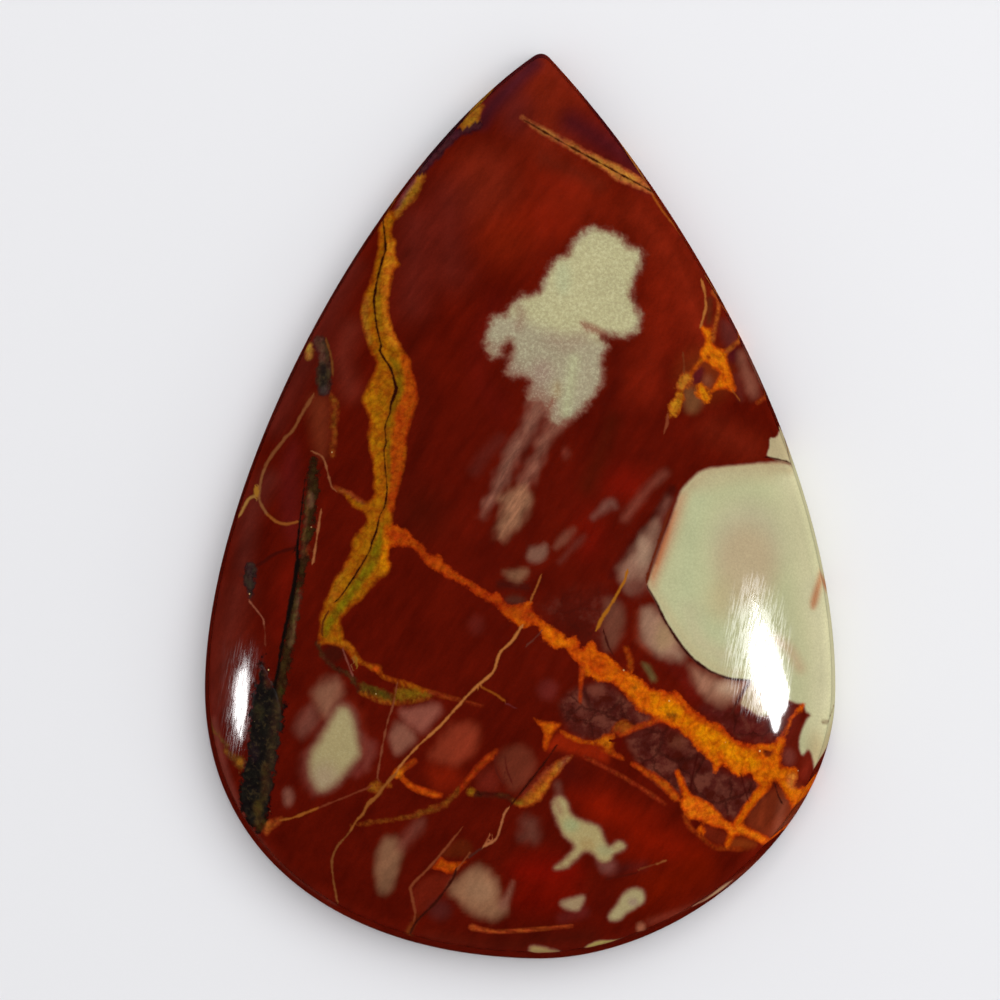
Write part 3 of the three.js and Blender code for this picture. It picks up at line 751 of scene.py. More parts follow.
# Threads and hairline cracks, most of them as thin as the mesh's cells: (colour, shape)
THREADS = [
    ("a86430", taper(
        (521, 627, 1.8), (515, 637, 1.7), (508, 645, 1.6), (500, 653, 1.5), (494, 670, 1.5), (488, 677, 1.5),
        (470, 693, 1.5), (440, 726, 1.4), (420, 744, 1.3), (400, 766, 1.3), (397, 772, 1.3))),
    ("8c4e20", taper(
        (397, 772, 1.6), (383, 788, 2), (377, 796, 2), (368, 804, 1.8), (363, 814, 1.6), (357, 820, 1.5),
        (350, 832, 1.3))),
    ("7a4420", line(1.2, (350, 832), (337, 847), (332, 861), (333, 877), (337, 901))),
    ("84400f", taper((481, 687, 1.5), (495, 694, 1.3), (503, 700, 1.5))),
    ("5c2020", line(1.2, (508, 704), (515, 708))),
    ("8a5030", line(1.1, (313, 452), (320, 455), (325, 462), (331, 485), (335, 490))),
    ("a4603a", line(1.4, (508, 808), (504, 815), (499, 832), (495, 840), (484, 846))),
    ("a4622c", line(1.3, (702, 281), (706, 302), (704, 315), (701, 325))),
    ("94501c", taper((318, 808, 1.3), (295, 817, 1.5), (282, 820, 1.5))),
    ("74301c", line(1.2, (370, 787), (318, 808))),
    ("7a3c26", line(1, (397, 684), (393, 705), (386, 728), (378, 772), (378, 780))),
    ("7a4034", line(1.1, (343, 650), (352, 674))),
    ("86581a", line(1.4, (356, 658), (357, 666))),
    ("9a5030", line(1, (489, 836), (487, 840), (486, 843))),
    ("4a2018", line(1.4, (480, 849), (475, 853), (470, 857))),
    ("7e3a20", taper(
        (462, 828, 1), (440, 855, 1.5), (425, 872, 1.5), (416, 880, 1.5), (410, 888, 1.5), (411, 892, 1.5),
        (415, 912, 1.5), (414, 920, 1.2))),
    ("7c3c20", line(1.1, (470, 853), (455, 872))),
    ("6e3018", line(1.2, (640, 869), (650, 866), (658, 863))),
    ("8a4a24", line(1.4, (657, 864), (664, 861))),
    ("8f4c20", taper((531, 600, 1.5), (541, 576, 0.7))),
    ("5a2a20", line(0.9, (541, 632), (533, 640), (527, 645))),
    ("9c5c14", taper((627, 572, 2), (624, 582, 1.5), (610, 606, 1.8), (602, 618, 2.2), (597, 629, 1.8))),
    ("7a3820", taper((668, 416, 1.5), (667, 424, 1.4), (664, 432, 1))),
    ("6a3018", line(0.9, (683, 355), (684, 364), (684, 372))),
    ("8a4418", line(1, (733, 391), (739, 399))),
    ("8a4210", line(1.3, (653, 196), (664, 213), (679, 231), (690, 248))),
    # the left margin
    ("7c4424", line(1.8, (313, 396), (303, 412), (293, 430), (285, 438), (270, 458), (265, 468))),
    ("84502c", line(1.5, (265, 468), (261, 480), (259, 497), (262, 506), (267, 514))),
    ("8a4a1c", line(1.5, (267, 514), (275, 521), (285, 524), (297, 522))),
    ("a06c24", line(3, (256, 489), (257, 495))),
    ("9a6c34", taper((255, 496, 1.8), (248, 500, 1.8), (240, 515, 1.2))),
    ("90503a", line(0.8, (250, 602), (262, 617), (264, 624))),
    ("6a2c1c", line(0.8, (264, 624), (265, 632), (265, 644))),
    ("9a5a34", line(1.2, (321, 511), (313, 562))),
    ("6e3c18", line(1.3, (326, 340), (331, 356), (333, 375))),
]
CRACKS = [
    ("2a0a04", taper(
        (383, 220, 0.9), (385.5, 248, 1.6), (383, 258, 1.4), (377, 280, 1.4), (375.5, 292, 1.5),
        (374, 302, 1.5), (377, 328, 1.4), (381, 345, 1.7), (380, 350, 1.6), (383, 357, 1.5), (391, 369, 1.6),
        (395, 384, 2.2), (396, 390, 2.3), (391, 404, 1.5), (390, 413, 1.2), (387, 420, 1.1), (385, 428, 1),
        (386, 443, 1), (384, 450, 1), (385, 465, 1), (387, 490, 1), (384, 508, 1), (380, 515, 1.2),
        (376, 532, 1.4), (372, 542, 1.4), (369, 552, 1.4), (354, 577, 1.2), (341, 596, 1.1), (336, 601, 1))),
    ("521f0a", line(1.1, (328, 612), (323, 622), (322, 634))),
    ("3a1406", line(1.3, (526, 121), (560, 141), (655, 193))),
    ("340c06", line(1.1, (556, 746), (545, 762), (511, 805))),
    ("3a1008", taper((456, 870, 1.2), (452, 880, 1.5), (435, 903, 1.6), (416, 922, 1.3), (408, 940, 1))),
    ("120b08", taper(
        (305, 480, 0.8), (298, 540, 1.6), (296, 575, 2.8), (281, 650, 2), (278, 670, 2), (272, 697, 2))),
    ("34100c", taper(
        (648, 588, 1), (655, 600, 1.2), (667, 624, 1.5), (688, 654, 1.6), (705, 668, 1.4), (714, 673, 1.3),
        (732, 679, 1.2), (750, 680, 1))),
    ("4a1c14", line(1.3, (750, 681), (736, 704), (732, 713))),
    ("3c0c06", line(1.2, (766, 457), (785, 461), (794, 465))),
    ("5e200e", line(1.6, (669, 512), (650, 568), (647, 581))),
    ("420c06", line(2, (294, 548), (275, 554), (265, 561), (258, 565))),
    ("3a0c08", line(1.2, (697, 757), (693, 775), (690, 790))),
    ("3a0c08", line(1, (741, 775), (745, 790), (748, 800))),
    ("3a100a", line(1.2, (604, 632), (608, 645), (613, 655))),
    ("34100a", line(1, (775, 785), (778, 795), (782, 803))),
    ("52180f", line(1.1, (495, 758), (496, 770), (502, 782))),
    ("52180f", line(1.1, (505, 757), (507, 770), (512, 783))),
    ("520a04", line(2, (612, 741), (620, 740), (618, 750))),
    ("4a1008", line(1.2, (608, 879), (622, 876), (636, 873))),
]

# Rough pits in the polish: (softness, shape)
PITS = [
    (0.5, area((262, 668), (256, 692), (243, 790), (256, 824), (268, 800), (280, 720))),
    (0.3, line(3, (322, 365), (325, 420), (322, 450))),
]

# Places where the polish is worn with fine marks: (softness, shape)
WORN = [(0.9, oval(757, 645, 34, 70)), (2.5, line(1, (238, 655), (242, 740)))]

FAR = 1.5  # distances to the markings are kept up to this many millimetres
SPAN_STEPS = 5  # straight steps between two points of a shape
BATCH = 4000  # places that are measured at a time, which keeps the memory small
NO_MARK = 0.1  # the softness and raggedness where no mark is near
SEED, WAVES, WAVE_LENGTHS = 7, 14, (9, 30)  # the sine waves of wandering edges, with their lengths in pixels
STREAK_WANDER, CELL_WANDER = 0.22, 0.14  # how far soft edges wander, as a share of their softness
DEPTH_DRIFT = (-9, 13)  # pixels that the markings drift for each millimetre of depth below the dome
PIT_DEPTH = 0.03  # how far the rough rock lies below the polish
LUMPS, LUMP_TURNS, LUMP_BEND = (7.1, 6.3), (3.7, 4.9), 2  # radians per millimetre of the lumps' waves
LUMP_SHARE = 0.4  # how much of the pits' depth the lumps make


def smooth_path(shape):
    """A Catmull-Rom curve through a shape's points: each span leaves a point along the line between its
    neighbours. Every column, also the half width, runs smoothly."""
    points = np.array(shape["points"], float)
    if shape["closed"]:
        before, onward = np.roll(points, 1, 0), np.roll(points, -1, 0)
        start, end, far = points, onward, np.roll(points, -2, 0)
    else:
        padded = np.vstack([2 * points[0] - points[1], points, 2 * points[-1] - points[-2]])
        before, start, end, far = padded[:-3], padded[1:-2], padded[2:-1], padded[3:]
    t = np.linspace(0, 1, SPAN_STEPS, endpoint=False)[None, :, None]
    a, b, c, d = (v[:, None, :] for v in (before, start, end, far))
    path = 0.5 * (2 * b + (c - a) * t + (2 * a - 5 * b + 4 * c - d) * t**2 + (3 * b - a - 3 * c + d) * t**3)
    path = path.reshape(-1, points.shape[1])
    return np.vstack([path, path[:1] if shape["closed"] else points[-1:]])


def measure(places, shape):
    """The places near a shape, how far inside it each lies in millimetres (negative outside), and for a line
    the signed offset from its middle and its half width there.

    The distance is that to the nearest straight step of the outline. A place is inside a patch if a level ray
    from it crosses the outline an odd number of times."""
    path = smooth_path(shape)
    half = path[:, 2] if path.shape[1] > 2 else np.zeros(len(path))
    reach = FAR * PIXELS_PER_MM + half.max()
    low, high = path[:, :2].min(0) - reach, path[:, :2].max(0) + reach
    near = np.flatnonzero(np.all((places > low) & (places < high), axis=1))
    start, step = path[:-1, :2], np.diff(path[:, :2], axis=0)
    length = np.maximum((step**2).sum(1), 1e-9)
    inside, offset, width = (np.zeros(len(near)) for _ in range(3))
    for first in range(0, len(near), BATCH):
        part = slice(first, first + BATCH)
        gap = places[near[part], None, :] - start
        t = np.clip((gap * step).sum(2) / length, 0, 1)
        away = np.hypot(*np.moveaxis(gap - t[..., None] * step, 2, 0))
        cross = step[:, 1] * gap[..., 0] - step[:, 0] * gap[..., 1]
        if shape["closed"]:
            crossed = (gap[..., 1] >= 0) != (gap[..., 1] >= step[:, 1])
            odd = (crossed & ((cross > 0) == (step[:, 1] > 0))).sum(1) % 2
            inside[part] = away.min(1) * np.where(odd, 1, -1)
        else:
            wide = half[:-1] + t * np.diff(half)
            best = np.arange(len(away)), (away - wide).argmin(1)
            inside[part] = (wide - away)[best]
            offset[part] = -np.sign(cross[best]) * away[best]
            width[part] = wide[best]
    return near, inside / PIXELS_PER_MM, offset / PIXELS_PER_MM, width / PIXELS_PER_MM


def dapple(places):
    """A smooth random field, mostly from -1 to 1: sine waves in random directions, added up."""
    random = np.random.default_rng(SEED)
    total = np.zeros(len(places))
    for _ in range(WAVES):
        turn, start = random.uniform(0, 2 * math.pi, 2)
        along = places @ np.array([math.cos(turn), math.sin(turn)])
        total += np.sin(2 * math.pi * along / random.uniform(*WAVE_LENGTHS) + start)
    return total / math.sqrt(WAVES)


def paint(colours, places, stains, wander=0):
    """Lay soft stains over the colours, and return how strongly each place was stained. Edges wander by that
    share of their softness."""
    total = np.zeros(len(places))
    uneven = wander * dapple(places)
    for code, soft, strength, shape in stains:
        near, inside, _, _ = measure(places, shape)
        t = np.clip((inside / soft + uneven[near]) / 2 + 0.5, 0, 1)
        amount = strength * t * t * (3 - 2 * t)
        colours[near] += amount[:, None] * (linear(code) - colours[near])
        total[near] = np.maximum(total[near], amount)
    return total


def layer(places, marks):
    """The nearest mark at each place: how far inside it the place lies, its colour and its numbers."""
    inside = np.full(len(places), -FAR)
    numbers, colours = np.full((len(places), len(marks[0]) - 2), NO_MARK), np.zeros((len(places), 3))
    for code, *values, shape in marks:
        near, depth, _, _ = measure(places, shape)
        closer = depth > inside[near]
        chosen = near[closer]
        inside[chosen] = depth[closer]
        numbers[chosen] = values
        colours[chosen] = linear(code)
    return inside, colours, *numbers.T


def hairlines(places, marks):
    """The nearest line at each place: how far inside it the place lies, its colour, the signed offset from
    its middle and its half width."""
    inside = np.full(len(places), -FAR)
    offset, half, colours = np.full(len(places), FAR), np.zeros(len(places)), np.zeros((len(places), 3))
    for code, shape in marks:
        near, depth, across, width = measure(places, shape)
        closer = depth > inside[near]
        chosen = near[closer]
        inside[chosen], offset[chosen], half[chosen] = depth[closer], across[closer], width[closer]
        colours[chosen] = linear(code)
    return inside, colours, offset, half


def fade(places, marks):
    """How far each place is into any of some soft shapes, from 0 to 1."""
    amount = np.zeros(len(places))
    for soft, shape in marks:
        near, inside, _, _ = measure(places, shape)
        amount[near] = np.maximum(amount[near], np.clip(inside / soft + 0.5, 0, 1))
    return amount


def lumps(x, y):
    """Lumps about half a millimetre across, from -1 to 1: two crossed waves, each bent by a third and fourth
    wave that run the other way."""
    across = np.sin(LUMPS[0] * x + LUMP_BEND * np.sin(LUMP_TURNS[0] * y))
    return across * np.sin(LUMPS[1] * y + LUMP_BEND * np.sin(LUMP_TURNS[1] * x))


def add_values(mesh, name, values):
    """Store one number or one colour for each vertex."""
    flat = values.ndim == 1
    attribute = mesh.attributes.new(name, "FLOAT" if flat else "FLOAT_COLOR", "POINT")
    if flat:
        attribute.data.foreach_set("value", values.astype(np.float32))
    else:
        rgba = np.column_stack([values, np.ones(len(values))])
        attribute.data.foreach_set("color", rgba.astype(np.float32).ravel())


points, faces = stone_mesh()
places = picture_place(points) + np.clip(SIDE_TOP - points[:, 2:], 0, None) * DEPTH_DRIFT

# What the material reads at each vertex, by name
ground = np.tile(linear(GROUND), (len(points), 1))
paint(ground, places, TONES)
values = {"ground": ground, "mottle": paint(ground, places, MOTTLES)}
values["streak"] = paint(ground, places, STREAKS, STREAK_WANDER)
paint(ground, places, CELLS, CELL_WANDER)
values["pit"], values["worn"] = fade(places, PITS), fade(places, WORN)
for name, marks, read, parts in (
    ("cream", CREAM, layer, ("", "_colour", "_soft", "_ragged")),
    ("vein", VEINS, layer, ("", "_colour", "_ragged")),
    ("thread", THREADS, hairlines, ("", "_colour", "_offset", "_half")),
    ("crack", CRACKS, hairlines, ("", "_colour", "_offset", "_half")),
):
    for part, numbers in zip(parts, read(places, marks)):
        values[name + part] = numbers
paint(values["cream_colour"], places, CREAM_STAINS)
paint(values["vein_colour"], places, VEIN_STAINS)

# The rough rock lies a little below the polish, in lumps
depth = PIT_DEPTH * values["pit"] * (1 - LUMP_SHARE + LUMP_SHARE * lumps(points[:, 0], points[:, 1]))
points[:, 2] -= np.where(points[:, 2] > SIDE_TOP, depth, 0)

stone = make_object("polished_cabochon", points, faces)
for name, numbers in values.items():
    add_values(stone.data, name, numbers)
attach(stone, "root")
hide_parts("cabochon")

# The material's patterns, as the size in millimetres of what they draw
GRAIN = 0.0909  # the ground's grain
RAGGED = 0.4167  # the teeth of ragged edges
CLOUD = 2.222  # broad lighter and darker clouds
FLOW, FLOW_STRETCH = 0.7692, (3, 0.7, 1)  # the streaks of the ground's flow, and how far they are drawn out
FLOW_TURN = 57  # their direction, in degrees
FIBRE = 0.25  # the fibres in the streaked tail of the middle patch
CELL = 0.6667  # the faint cells of the brecciated ground
CRAZE, CRAZE_BEND = 1.613, 0.5  # the net of fine cracks between them, and how far its lines are bent
GRIT = 0.1429  # the sugary grains of the ragged fragments
GRANULE = 0.25  # the granules of the veins and of the rough rock
PATCH = 0.5263  # yellower and redder patches in the veins
SEAM = 0.6667  # the net of darker seams in the veins
GLINT_SPACING, GLINT_GROUP = 0.625, 1.25  # GLINT_SPACING, GLINT_GROUP = 0.625, 1.25 # the distance between painted glints, bright specks that stand for crystals catching the light, and their groups
MARK, MARK_TURN = (0.9, 0.06, 1), 80  # a polishing mark's length and width, and its direction in degrees
BUMP = 0.08  # how high the granules of the rough rock stand
LINE_RAGGED, LINE_EDGE = 0.035, (-0.035, 0.065)  # how ragged hairlines are, and how softly they end
LINE_GUARD = 0.08  # how far beyond its edge a hairline's signed offset is trusted
PAINTED_EDGE_GLOW = 1.5  # PAINTED_EDGE_GLOW = 1.5 # painted light: how much brighter the side is painted than the dome
PAINTED_GLOW_BAND, FINISH_BAND = 0.4, 0.3  # how far above and below the side's top the dome's look turns into its own

REFRACTION = 1.54  # chalcedony's refractive index
POLISH, SATIN, ROCK_ROUGHNESS = 0.05, 0.2, 0.6  # how rough the dome, the side and the rough rock are
DOME_GLOSS, SIDE_GLOSS, ROCK_GLOSS = 0.5, 0.05, 0.04  # how much they mirror; 0.5 is what the index gives

# Settings that several nodes share, and factors that change a vein's colour
SPREAD = {1: 0.3, 2: 0.7}  # where nearly all of a noise's values lie
SMOOTH = {"interpolation_type": "SMOOTHSTEP"}
COLOURS = {"output": 2, "data_type": "RGBA"}
YELLOWER, REDDER = (1.06, 1.12, 1, 1), (0.93, 0.68, 0.9, 1)
SEAM_TINT, RIM_TINT = (0.75, 0.5, 0.5), (0.75, 0.3, 0.5)


def tone(code):
    """An sRGB hex colour as a node takes it: linear, and opaque."""
    return (*linear(code), 1)


def add(kind, inputs, output=0, **settings):
    """Add a node of a kind with settings; inputs are values or other nodes' outputs. Returns one output."""
    made = tree.nodes.new("ShaderNode" + kind)
    for key, value in settings.items():
        setattr(made, key, value)
    for key, value in inputs.items():
        if isinstance(value, bpy.types.NodeSocket):
            tree.links.new(value, made.inputs[key])
        else:
            made.inputs[key].default_value = value
    return made.outputs[output]


def line_mask(name):
    """Where a hairline is: its half width less the distance from its middle, near the line itself, made a
    little ragged."""
    away = add("Math", {0: stored[name + "_offset"]}, operation="ABSOLUTE")
    inside = add("Math", {0: stored[name + "_half"], 1: away}, operation="SUBTRACT")
    guard = add("Math", {0: stored[name], 1: LINE_GUARD}, operation="ADD")
    inside = add("Math", {0: inside, 1: guard}, operation="MINIMUM")
    ragged = add("Math", {0: wobble, 1: LINE_RAGGED, 2: inside}, operation="MULTIPLY_ADD")
    return add("MapRange", {0: ragged, 1: LINE_EDGE[0], 2: LINE_EDGE[1]}, **SMOOTH)


# Polished jasper: opaque and even like glass, so that lamps show in it as sharp bright shapes. Its patterns
# are drawn in millimetres, as colour inside the stone together with some painted reflections, painted shade
# and painted glints; only worn places and rough rock break its polish.
material = bpy.data.materials.new("polished_jasper")
material.use_nodes = True
tree = material.node_tree
shader = tree.nodes["Principled BSDF"]
stored = {
    name: add("Attribute", {}, "Fac" if numbers.ndim == 1 else "Color", attribute_name=name)
    for name, numbers in values.items()
}
metres = add("TexCoord", {}, "Object")
place = add("VectorMath", {0: metres, "Scale": 1 / MM}, operation="SCALE")
height = add("SeparateXYZ", {0: place}, 2)
turned = {"Rotation": (0, 0, math.radians(FLOW_TURN)), "Scale": FLOW_STRETCH}
flow_place = add("Mapping", {0: place, **turned}, vector_type="TEXTURE")
fine = add("TexNoise", {"Vector": place, "Scale": 1 / GRAIN, "Detail": 2, "Roughness": 0.6})
edges = add("TexNoise", {"Vector": place, "Scale": 1 / RAGGED, "Detail": 4, "Roughness": 0.68})
broad = add("TexNoise", {"Vector": place, "Scale": 1 / CLOUD, "Detail": 3, "Roughness": 0.55})
granular = add("TexNoise", {"Vector": place, "Scale": 1 / GRANULE, "Detail": 4, "Roughness": 0.65})
wobble = add("MapRange", {0: edges, **SPREAD, 3: -1, 4: 1})
crazed_place = add("VectorMath", {0: edges, 1: (CRAZE_BEND,) * 3, 2: place}, operation="MULTIPLY_ADD")

# Ground: iron-red jasper, with darker and lighter streaks along the flow, clouds, a fine grain and the tail's
# fibres
shade = add("TexNoise", {"Vector": flow_place, "Scale": 1 / FLOW, "Detail": 5, "Roughness": 0.65})
shade = add("MapRange", {0: shade, **SPREAD, 3: 0.8, 4: 1.22})
clouds = add("MapRange", {0: broad, **SPREAD, 3: 0.86, 4: 1.14})
grain = add("MapRange", {0: fine, 1: 0.25, 2: 0.75, 3: 0.9, 4: 1.1})
fibres = add("TexNoise", {"Vector": flow_place, "Scale": 1 / FIBRE, "Detail": 3, "Roughness": 0.6})
fibres = add("MapRange", {0: fibres, 1: 0.35, 2: 0.65, 3: -0.24, 4: 0.24})
fibres = add("Math", {0: fibres, 1: stored["streak"], 2: 1}, operation="MULTIPLY_ADD")
for factor in (clouds, grain, fibres):
    shade = add("Math", {0: shade, 1: factor}, operation="MULTIPLY")
base = add("VectorMath", {0: stored["ground"], "Scale": shade}, operation="SCALE")

# Brecciated ground: faint greyish and dark cells between fine crazing
cells = add("TexNoise", {"Vector": place, "Scale": 1 / CELL, "Detail": 4, "Roughness": 0.6})
pale = add("MapRange", {0: cells, 1: 0.47, 2: 0.68, 4: 0.75}, **SMOOTH)
dark = add("MapRange", {0: cells, 1: 0.49, 2: 0.36, 4: 0.8}, **SMOOTH)
crazing = add("TexVoronoi", {"Vector": crazed_place, "Scale": 1 / CRAZE}, feature="DISTANCE_TO_EDGE")
crazing = add("MapRange", {0: crazing, 1: 0.06, 2: 0.005, 4: 0.55}, **SMOOTH)
for amount, code in ((pale, "6e382a"), (dark, "400e06"), (crazing, "2c0a06")):
    amount = add("Math", {0: amount, 1: stored["mottle"]}, operation="MULTIPLY")
    base = add("Mix", {0: amount, 6: base, 7: tone(code)}, **COLOURS)

# Pale fragments: chalcedony with a mauve fringe, where iron has crept in. The ragged ones are sugary, with
# dull grains and bright ones, the bright ones partly painted glints.
cream = add("Math", {0: wobble, 1: stored["cream_ragged"], 2: stored["cream"]}, operation="MULTIPLY_ADD")
cream = add("Math", {0: cream, 1: stored["cream_soft"]}, operation="DIVIDE")
fringe = add("MapRange", {0: cream, 1: -1, 2: 0.4, 4: 0.9}, **SMOOTH)
base = add("Mix", {0: fringe, 6: base, 7: tone("7a4638")}, **COLOURS)
body = add("MapRange", {0: cream, 1: -0.5, 2: 1.2}, **SMOOTH)
cloud = add("MapRange", {0: broad, **SPREAD, 3: 0.94, 4: 1.06})
cloud = add("Math", {0: cloud, 1: grain}, operation="MULTIPLY")
cream_colour = add("VectorMath", {0: stored["cream_colour"], "Scale": cloud}, operation="SCALE")
grit = add("TexNoise", {"Vector": place, "Scale": 1 / GRIT, "Detail": 4, "Roughness": 0.8})
dull = add("MapRange", {0: grit, 1: 0.4, 2: 0.62, 4: 2.3})
bright_grains_and_glints = add("MapRange", {0: grit, 1: 0.5, 2: 0.38, 4: 1.8})
for amount, code in ((dull, "7c6652"), (bright_grains_and_glints, "d6d2ae")):
    amount = add("Math", {0: amount, 1: stored["cream_ragged"]}, operation="MULTIPLY")
    cream_colour = add("Mix", {0: amount, 6: cream_colour, 7: tone(code)}, **COLOURS)
base = add("Mix", {0: body, 6: base, 7: cream_colour}, **COLOURS)

# Veins: granular limonite in yellower and redder patches, with darker seams, and redder at the rim
vein = add("Math", {0: wobble, 1: stored["vein_ragged"], 2: stored["vein"]}, operation="MULTIPLY_ADD")
vein_mask = add("MapRange", {0: vein, 1: -0.09, 2: 0.07}, **SMOOTH)
speckle = add("MapRange", {0: granular, **SPREAD, 3: 0.58, 4: 1.3})
vein_colour = add("VectorMath", {0: stored["vein_colour"], "Scale": speckle}, operation="SCALE")
patches = add("TexNoise", {"Vector": place, "Scale": 1 / PATCH, "Detail": 3, "Roughness": 0.6})
patches = add("MapRange", {0: patches, 1: 0.42, 2: 0.62})
tint = add("Mix", {0: patches, 6: YELLOWER, 7: REDDER}, **COLOURS)
vein_colour = add("VectorMath", {0: vein_colour, 1: tint}, operation="MULTIPLY")
seams = add("TexVoronoi", {"Vector": crazed_place, "Scale": 1 / SEAM}, feature="DISTANCE_TO_EDGE")
seams = add("MapRange", {0: seams, 1: 0.1, 2: 0.01, 4: 0.5}, **SMOOTH)
rim = add("MapRange", {0: vein, 1: 0.18, 2: 0, 4: 0.75}, **SMOOTH)
for amount, tint in ((seams, SEAM_TINT), (rim, RIM_TINT)):
    redder = add("VectorMath", {0: vein_colour, 1: tint}, operation="MULTIPLY")
    vein_colour = add("Mix", {0: amount, 6: vein_colour, 7: redder}, **COLOURS)
base = add("Mix", {0: vein_mask, 6: base, 7: vein_colour}, **COLOURS)

# Painted glints: bright specks in the coarse veins, in loose groups, that stand for crystals catching the
# light. Real ones are finer than the picture can show, so they are drawn about 0.1 mm wide.
painted_glints = add("TexVoronoi", {"Vector": place, "Scale": 1 / GLINT_SPACING, "Randomness": 1})
painted_glints = add("MapRange", {0: painted_glints, 1: 0.09, 2: 0.05}, **SMOOTH)
grouped = add("TexNoise", {"Vector": place, "Scale": 1 / GLINT_GROUP, "Detail": 0})
grouped = add("MapRange", {0: grouped, 1: 0.55, 2: 0.6})
coarse = add("MapRange", {0: stored["vein_ragged"], 1: 0.06, 2: 0.09})
for factor in (grouped, coarse, vein_mask):
    painted_glints = add("Math", {0: painted_glints, 1: factor}, operation="MULTIPLY")
base = add("Mix", {0: painted_glints, 6: base, 7: tone("d0b078")}, **COLOURS)

# Threads and cracks
for name in ("thread", "crack"):
    base = add("Mix", {0: line_mask(name), 6: base, 7: stored[name + "_colour"]}, **COLOURS)

# The rock in the pits: black, with olive-brown grains
rough = add("Math", {0: vein_mask, 1: stored["pit"]}, operation="MULTIPLY")
rock = add("MapRange", {0: granular, 1: 0.52, 2: 0.68, 4: 0.45}, **SMOOTH)
rock = add("Math", {0: rock, 1: rough}, operation="MULTIPLY")
base = add("Mix", {0: rock, 6: base, 7: tone("4a3a1c")}, **COLOURS)

# A real stone's thin edge lets a little light through; here that light is painted: the side is painted
# brighter than the dome
painted_glow = add("MapRange", {0: height, 1: SIDE_TOP + PAINTED_GLOW_BAND, 2: SIDE_TOP - PAINTED_GLOW_BAND, 3: 1, 4: PAINTED_EDGE_GLOW})
base = add("VectorMath", {0: base, "Scale": painted_glow}, operation="SCALE")
tree.links.new(base, shader.inputs["Base Color"])

# The dome has a high polish. Where it is worn, the last wheel left fine marks that make the edges of bright
# reflections streaky; real ones are too fine to show, so they are drawn 0.06 mm wide. The side is satin and
# mirrors little, and the rough rock is dull.
turned = {"Rotation": (0, 0, math.radians(MARK_TURN)), "Scale": MARK}
polish_place = add("Mapping", {0: place, **turned}, vector_type="TEXTURE")
marks = add("TexNoise", {"Vector": polish_place, "Scale": 1, "Detail": 3, "Roughness": 0.7})
marks = add("MapRange", {0: marks, 1: 0.45, 2: 0.68, 3: 0.04, 4: 0.46})
polish = add("Math", {0: marks, 1: stored["worn"], 2: POLISH}, operation="MULTIPLY_ADD")
side = {0: height, 1: SIDE_TOP + FINISH_BAND, 2: SIDE_TOP - FINISH_BAND}
satin = add("MapRange", {**side, 3: polish, 4: SATIN})
roughness = add("MapRange", {0: rough, 1: 0.2, 2: 0.6, 3: satin, 4: ROCK_ROUGHNESS})
tree.links.new(roughness, shader.inputs["Roughness"])
gloss = add("MapRange", {**side, 3: DOME_GLOSS, 4: SIDE_GLOSS})
gloss = add("MapRange", {0: rough, 2: 0.2, 3: gloss, 4: ROCK_GLOSS})
tree.links.new(gloss, shader.inputs["Specular IOR Level"])
shader.inputs["IOR"].default_value = REFRACTION
lumpy = add("MapRange", {0: rough, 1: 0.35})
bump_height = add("Math", {0: granular, 1: 0.5}, operation="SUBTRACT")
bump_height = add("Math", {0: bump_height, 1: lumpy}, operation="MULTIPLY")
bump = add("Bump", {"Height": bump_height, "Strength": 1, "Distance": BUMP * MM})
tree.links.new(bump, shader.inputs["Normal"])
stone.data.materials.append(material)

eye, right, up, back = camera_frame()
camera_data = bpy.data.cameras.new("camera")
camera_data.sensor_width = SENSOR
camera_data.lens = SENSOR * PIXELS_PER_MM * CAMERA_DISTANCE / PICTURE
camera = bpy.data.objects.new("camera", camera_data)
camera.location = Vector(eye * MM)
camera.rotation_euler = Vector(back).to_track_quat("Z", "Y").to_euler()
bpy.context.scene.collection.objects.link(camera)
bpy.context.scene.camera = camera
bpy.context.scene.view_settings.view_transform = "Standard"

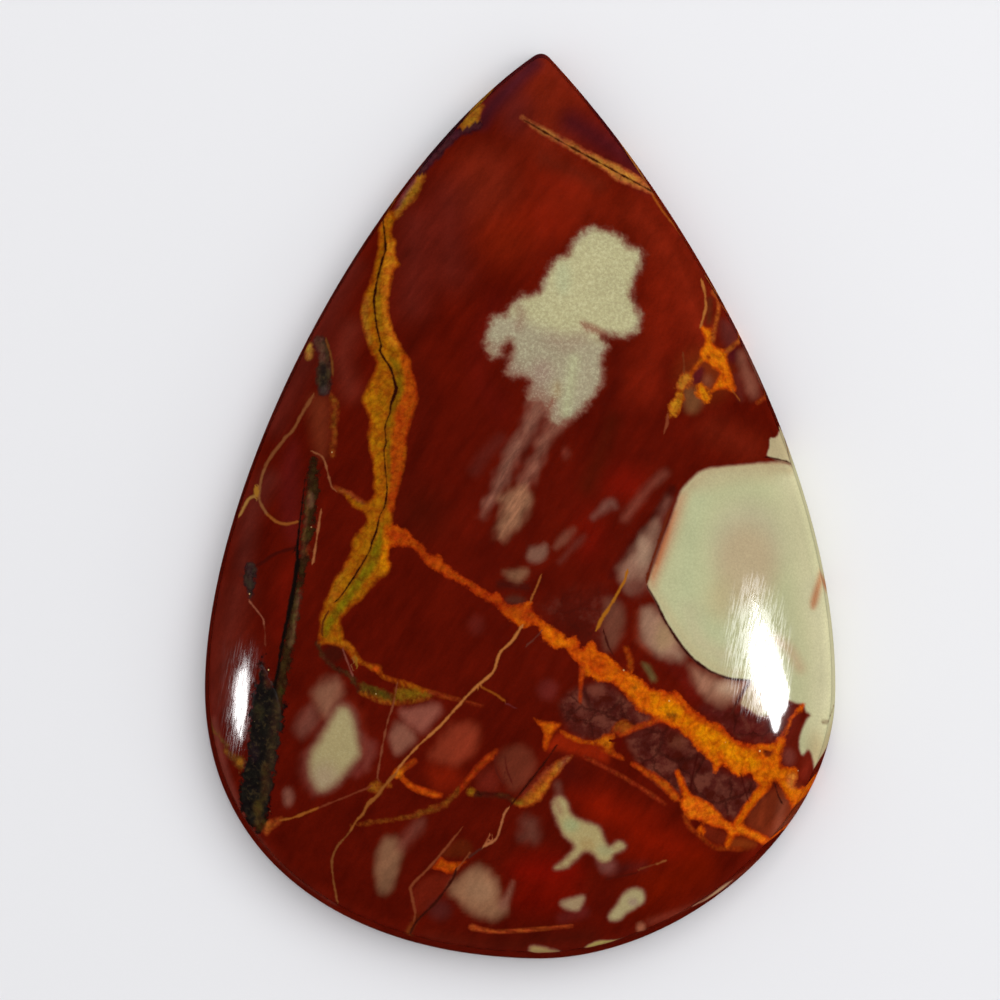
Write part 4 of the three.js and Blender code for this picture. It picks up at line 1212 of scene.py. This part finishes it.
# The studio: a white matt board two metres wide, white surroundings that show in no reflection, and lamps
FLOOR_SIZE = 2000
SURROUNDINGS = 0.66
LIGHT_DISTANCE = 250
BOARD_ROUGHNESS = 0.9
bpy.ops.mesh.primitive_plane_add(size=FLOOR_SIZE * MM)
floor = bpy.context.object
floor.name = "floor"
board = bpy.data.materials.new("white_board")
board.use_nodes = True
board_shader = board.node_tree.nodes["Principled BSDF"]
board_shader.inputs["Base Color"].default_value = tone("e7e7ea")
board_shader.inputs["Roughness"].default_value = BOARD_ROUGHNESS
floor.data.materials.append(board)
floor.visible_glossy = False

world = bpy.data.worlds.new("studio")
world.use_nodes = True
background = world.node_tree.nodes["Background"]
background.inputs["Color"].default_value = tone("ffffff")
background.inputs["Strength"].default_value = SURROUNDINGS
world.cycles_visibility.glossy = False
bpy.context.scene.world = world


def softbox(name, azimuth, elevation, wide, high, radiance, turn=0, round_lamp=True):
    """A flat lamp that faces the stone from a direction, with its two widths as angles in degrees. A round
    one shows only in reflections, and a square one only lights."""
    data = bpy.data.lights.new(name, "AREA")
    data.shape = "ELLIPSE" if round_lamp else "RECTANGLE"
    data.size, data.size_y = (2 * LIGHT_DISTANCE * MM * math.tan(math.radians(a / 2)) for a in (wide, high))
    share = math.pi / 4 if round_lamp else 1
    data.energy = radiance * math.pi * data.size * data.size_y * share
    lamp = bpy.data.objects.new(name, data)
    a, e = math.radians(azimuth), math.radians(elevation)
    direction = Vector((math.cos(a) * math.cos(e), math.sin(a) * math.cos(e), math.sin(e)))
    lamp.location = direction * LIGHT_DISTANCE * MM
    lamp.rotation_mode = "QUATERNION"
    lamp.rotation_quaternion = direction.to_track_quat("Z", "Y") @ Quaternion((0, 0, 1), math.radians(turn))
    lamp.visible_diffuse, lamp.visible_glossy = not round_lamp, round_lamp
    bpy.context.scene.collection.objects.link(lamp)


softbox("window", -4.5, 30.5, 15.5, 11.5, 44, turn=9)
softbox("window_end", -5, 30.5, 21.5, 5, 44, turn=9)
softbox("strip", 187.5, 22.2, 14, 4.4, 40, turn=15)
softbox("overhead", 40, 65, 60, 60, 1.5, round_lamp=False)
